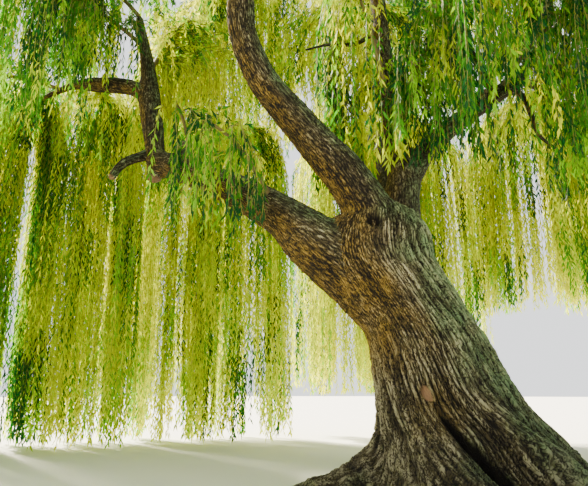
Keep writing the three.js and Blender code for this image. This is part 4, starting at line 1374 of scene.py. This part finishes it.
def mass_parts(name, weights, usual, settings):
    """A mass's stem, whips and shoots, their kinds of bark, its leaves and their tones, each as lists."""
    number = list(MASSES).index(name)
    stem = stem_route(name)[None]
    hanging, strand = whips(name, STRAND_COUNTS.get(name, usual), settings.rope_width)
    short, pair = shoots(name, SHOOT_COUNTS.get(name, settings.shoots))
    radius = settings.whip_radius
    tubes = (
        thin_tubes(stem, along(STEM_RADII, np.linspace(0, 1, STEM_ROWS))[None], STEM_SIDES),
        thin_tubes(hanging, tapered(hanging, radius, WHIP_END), WHIP_SIDES),
        thin_tubes(short, tapered(short, SHOOT_THIN * radius, SHOOT_END), WHIP_SIDES),
    )
    wood = [(points, {}, faces) for points, faces in tubes]
    kinds = [np.full(len(faces), kind) for (_, faces), kind in zip(tubes, (0, 1, 1))]
    leafage, tones = [], []
    for routes, told, closer, seed in (
            (hanging, strand, 1.0, number),
            (short, SHOOT_STRANDS + pair, SHOOT_CLOSER, SHOOT_LEAF_DRAWS + number)):
        points, faces, spray = leaves(routes, told, closer * settings.leaf_spacing,
                                      settings.leaf_length, settings.leaf_width, seed)
        leafage.append((points, {}, faces))
        # Two faces a leaf
        tones.append(np.repeat(tones_of(points, spray, TONES.get(name, weights), seed), 2))
    return wood, kinds, leafage, tones


def foliage_piece(name, parts, kinds, materials, nodes):
    """A piece of twigs or of leaves, with a material for each kind of face, in place of its solids."""
    points, values, faces = joined(parts)
    piece = mesh_object(name, points, faces, values)
    for material in materials:
        piece.data.materials.append(material)
    piece.data.polygons.foreach_set("material_index", np.concatenate(kinds).astype(np.int32))
    placed(piece, nodes)
    return piece


class WILLOW_OT_foliage(bpy.types.Operator):
    """Make the stems, whips and leaves of every mass, twigs and leaves each in nine pieces."""
    bl_idname = "willow.foliage"
    bl_label = "Make the foliage"

    def execute(self, context):
        settings = context.scene.willow
        twig_barks = [twig_material("thin branch bark", settings.stem, 0.3),
                      twig_material("young whip bark", settings.whip, 0.4)]
        leaf_tones = [leaf_material(name, *pair) for name, pair in LEAF_TONES.items()]
        for group, (weights, usual, names) in FOLIAGE_GROUPS.items():
            grown = [mass_parts(name, weights, usual, settings) for name in names]
            wood, kinds, leafage, tones = (sum(lists, []) for lists in zip(*grown))
            twigs = foliage_piece("whips_" + group, wood, kinds, twig_barks, names)
            twigs.data.shade_smooth()
            foliage_piece("leaves_" + group, leafage, tones, leaf_tones, names)
        return {"FINISHED"}


def lit_by(kind, name, place, target, energy):
    """A light of a kind at a place, turned towards a target."""
    bpy.ops.object.light_add(type=kind, location=place)
    light = bpy.context.object
    light.name = name
    light.data.energy = energy
    light.rotation_euler = (Vector(target) - Vector(place)).to_track_quat("-Z", "Y").to_euler()
    return light.data


class WILLOW_OT_stage(bpy.types.Operator):
    """Make the floor, the light and the camera."""
    bl_idname = "willow.stage"
    bl_label = "Make the stage"

    def execute(self, context):
        scene = context.scene
        bpy.ops.object.select_all(action="DESELECT")
        bpy.ops.mesh.primitive_circle_add(vertices=96, radius=FLOOR_RADIUS, fill_type="NGON",
                                          location=(0, 0, 0))
        floor = context.object
        floor.name = "floor"
        # Pale matt paint: it gives nothing back but soft light
        made, tree = blank("pale floor")
        skin = add(tree, "BsdfPrincipled", {"Base Color": (*scene.willow.floor, 1), "Roughness": 0.9})
        add(tree, "OutputMaterial", {"Surface": skin.outputs[0]})
        floor.data.materials.append(made)

        scene.world = bpy.data.worlds.new("pale light all round")
        scene.world.use_nodes = True
        around = scene.world.node_tree.nodes["Background"].inputs
        around["Color"].default_value = (*AROUND_COLOUR, 1)
        around["Strength"].default_value = AROUND_STRENGTH

        sun = lit_by("SUN", "soft sun", SUN_FROM, SUN_TO, SUN_STRENGTH)
        sun.angle = SUN_ANGLE
        sun.color = SUN_COLOUR
        lamp = lit_by("AREA", "front light", LAMP_FROM, LAMP_TO, LAMP_WATTS)
        lamp.shape = "DISK"
        lamp.size = LAMP_WIDTH

        bpy.ops.object.camera_add(location=VIEW_FROM, rotation=(math.pi / 2 + VIEW_TILT, 0, 0))
        camera = context.object
        camera.name = "camera"
        camera.data.lens = VIEW_LENS_MM
        camera.data.sensor_width = SENSOR_MM
        camera.data.clip_end = CLIP_END
        scene.camera = camera
        return {"FINISHED"}


class WILLOW_PT_panel(bpy.types.Panel):
    """The willow's sizes, colours and operators."""
    bl_idname = "WILLOW_PT_panel"
    bl_label = "Willow"
    bl_space_type = "VIEW_3D"
    bl_region_type = "UI"
    bl_category = "Willow"

    def draw(self, context):
        for key in WillowSettings.__annotations__:
            self.layout.prop(context.scene.willow, key)
        for kind in OPERATORS:
            self.layout.operator(kind.bl_idname)


OPERATORS = (WILLOW_OT_trunk, WILLOW_OT_boughs, WILLOW_OT_foliage, WILLOW_OT_stage)


def register():
    """Register the classes and the settings."""
    for kind in (WillowSettings, *OPERATORS, WILLOW_PT_panel):
        bpy.utils.register_class(kind)
    bpy.types.Scene.willow = PointerProperty(type=WillowSettings)


def unregister():
    """Take the classes and the settings away."""
    del bpy.types.Scene.willow
    for kind in reversed((WillowSettings, *OPERATORS, WILLOW_PT_panel)):
        bpy.utils.unregister_class(kind)


def main():
    """Make every piece."""
    register()
    bpy.ops.willow.trunk()
    bpy.ops.willow.boughs()
    bpy.ops.willow.foliage()
    bpy.ops.willow.stage()
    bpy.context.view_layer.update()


if __name__ == "__main__":
    main()
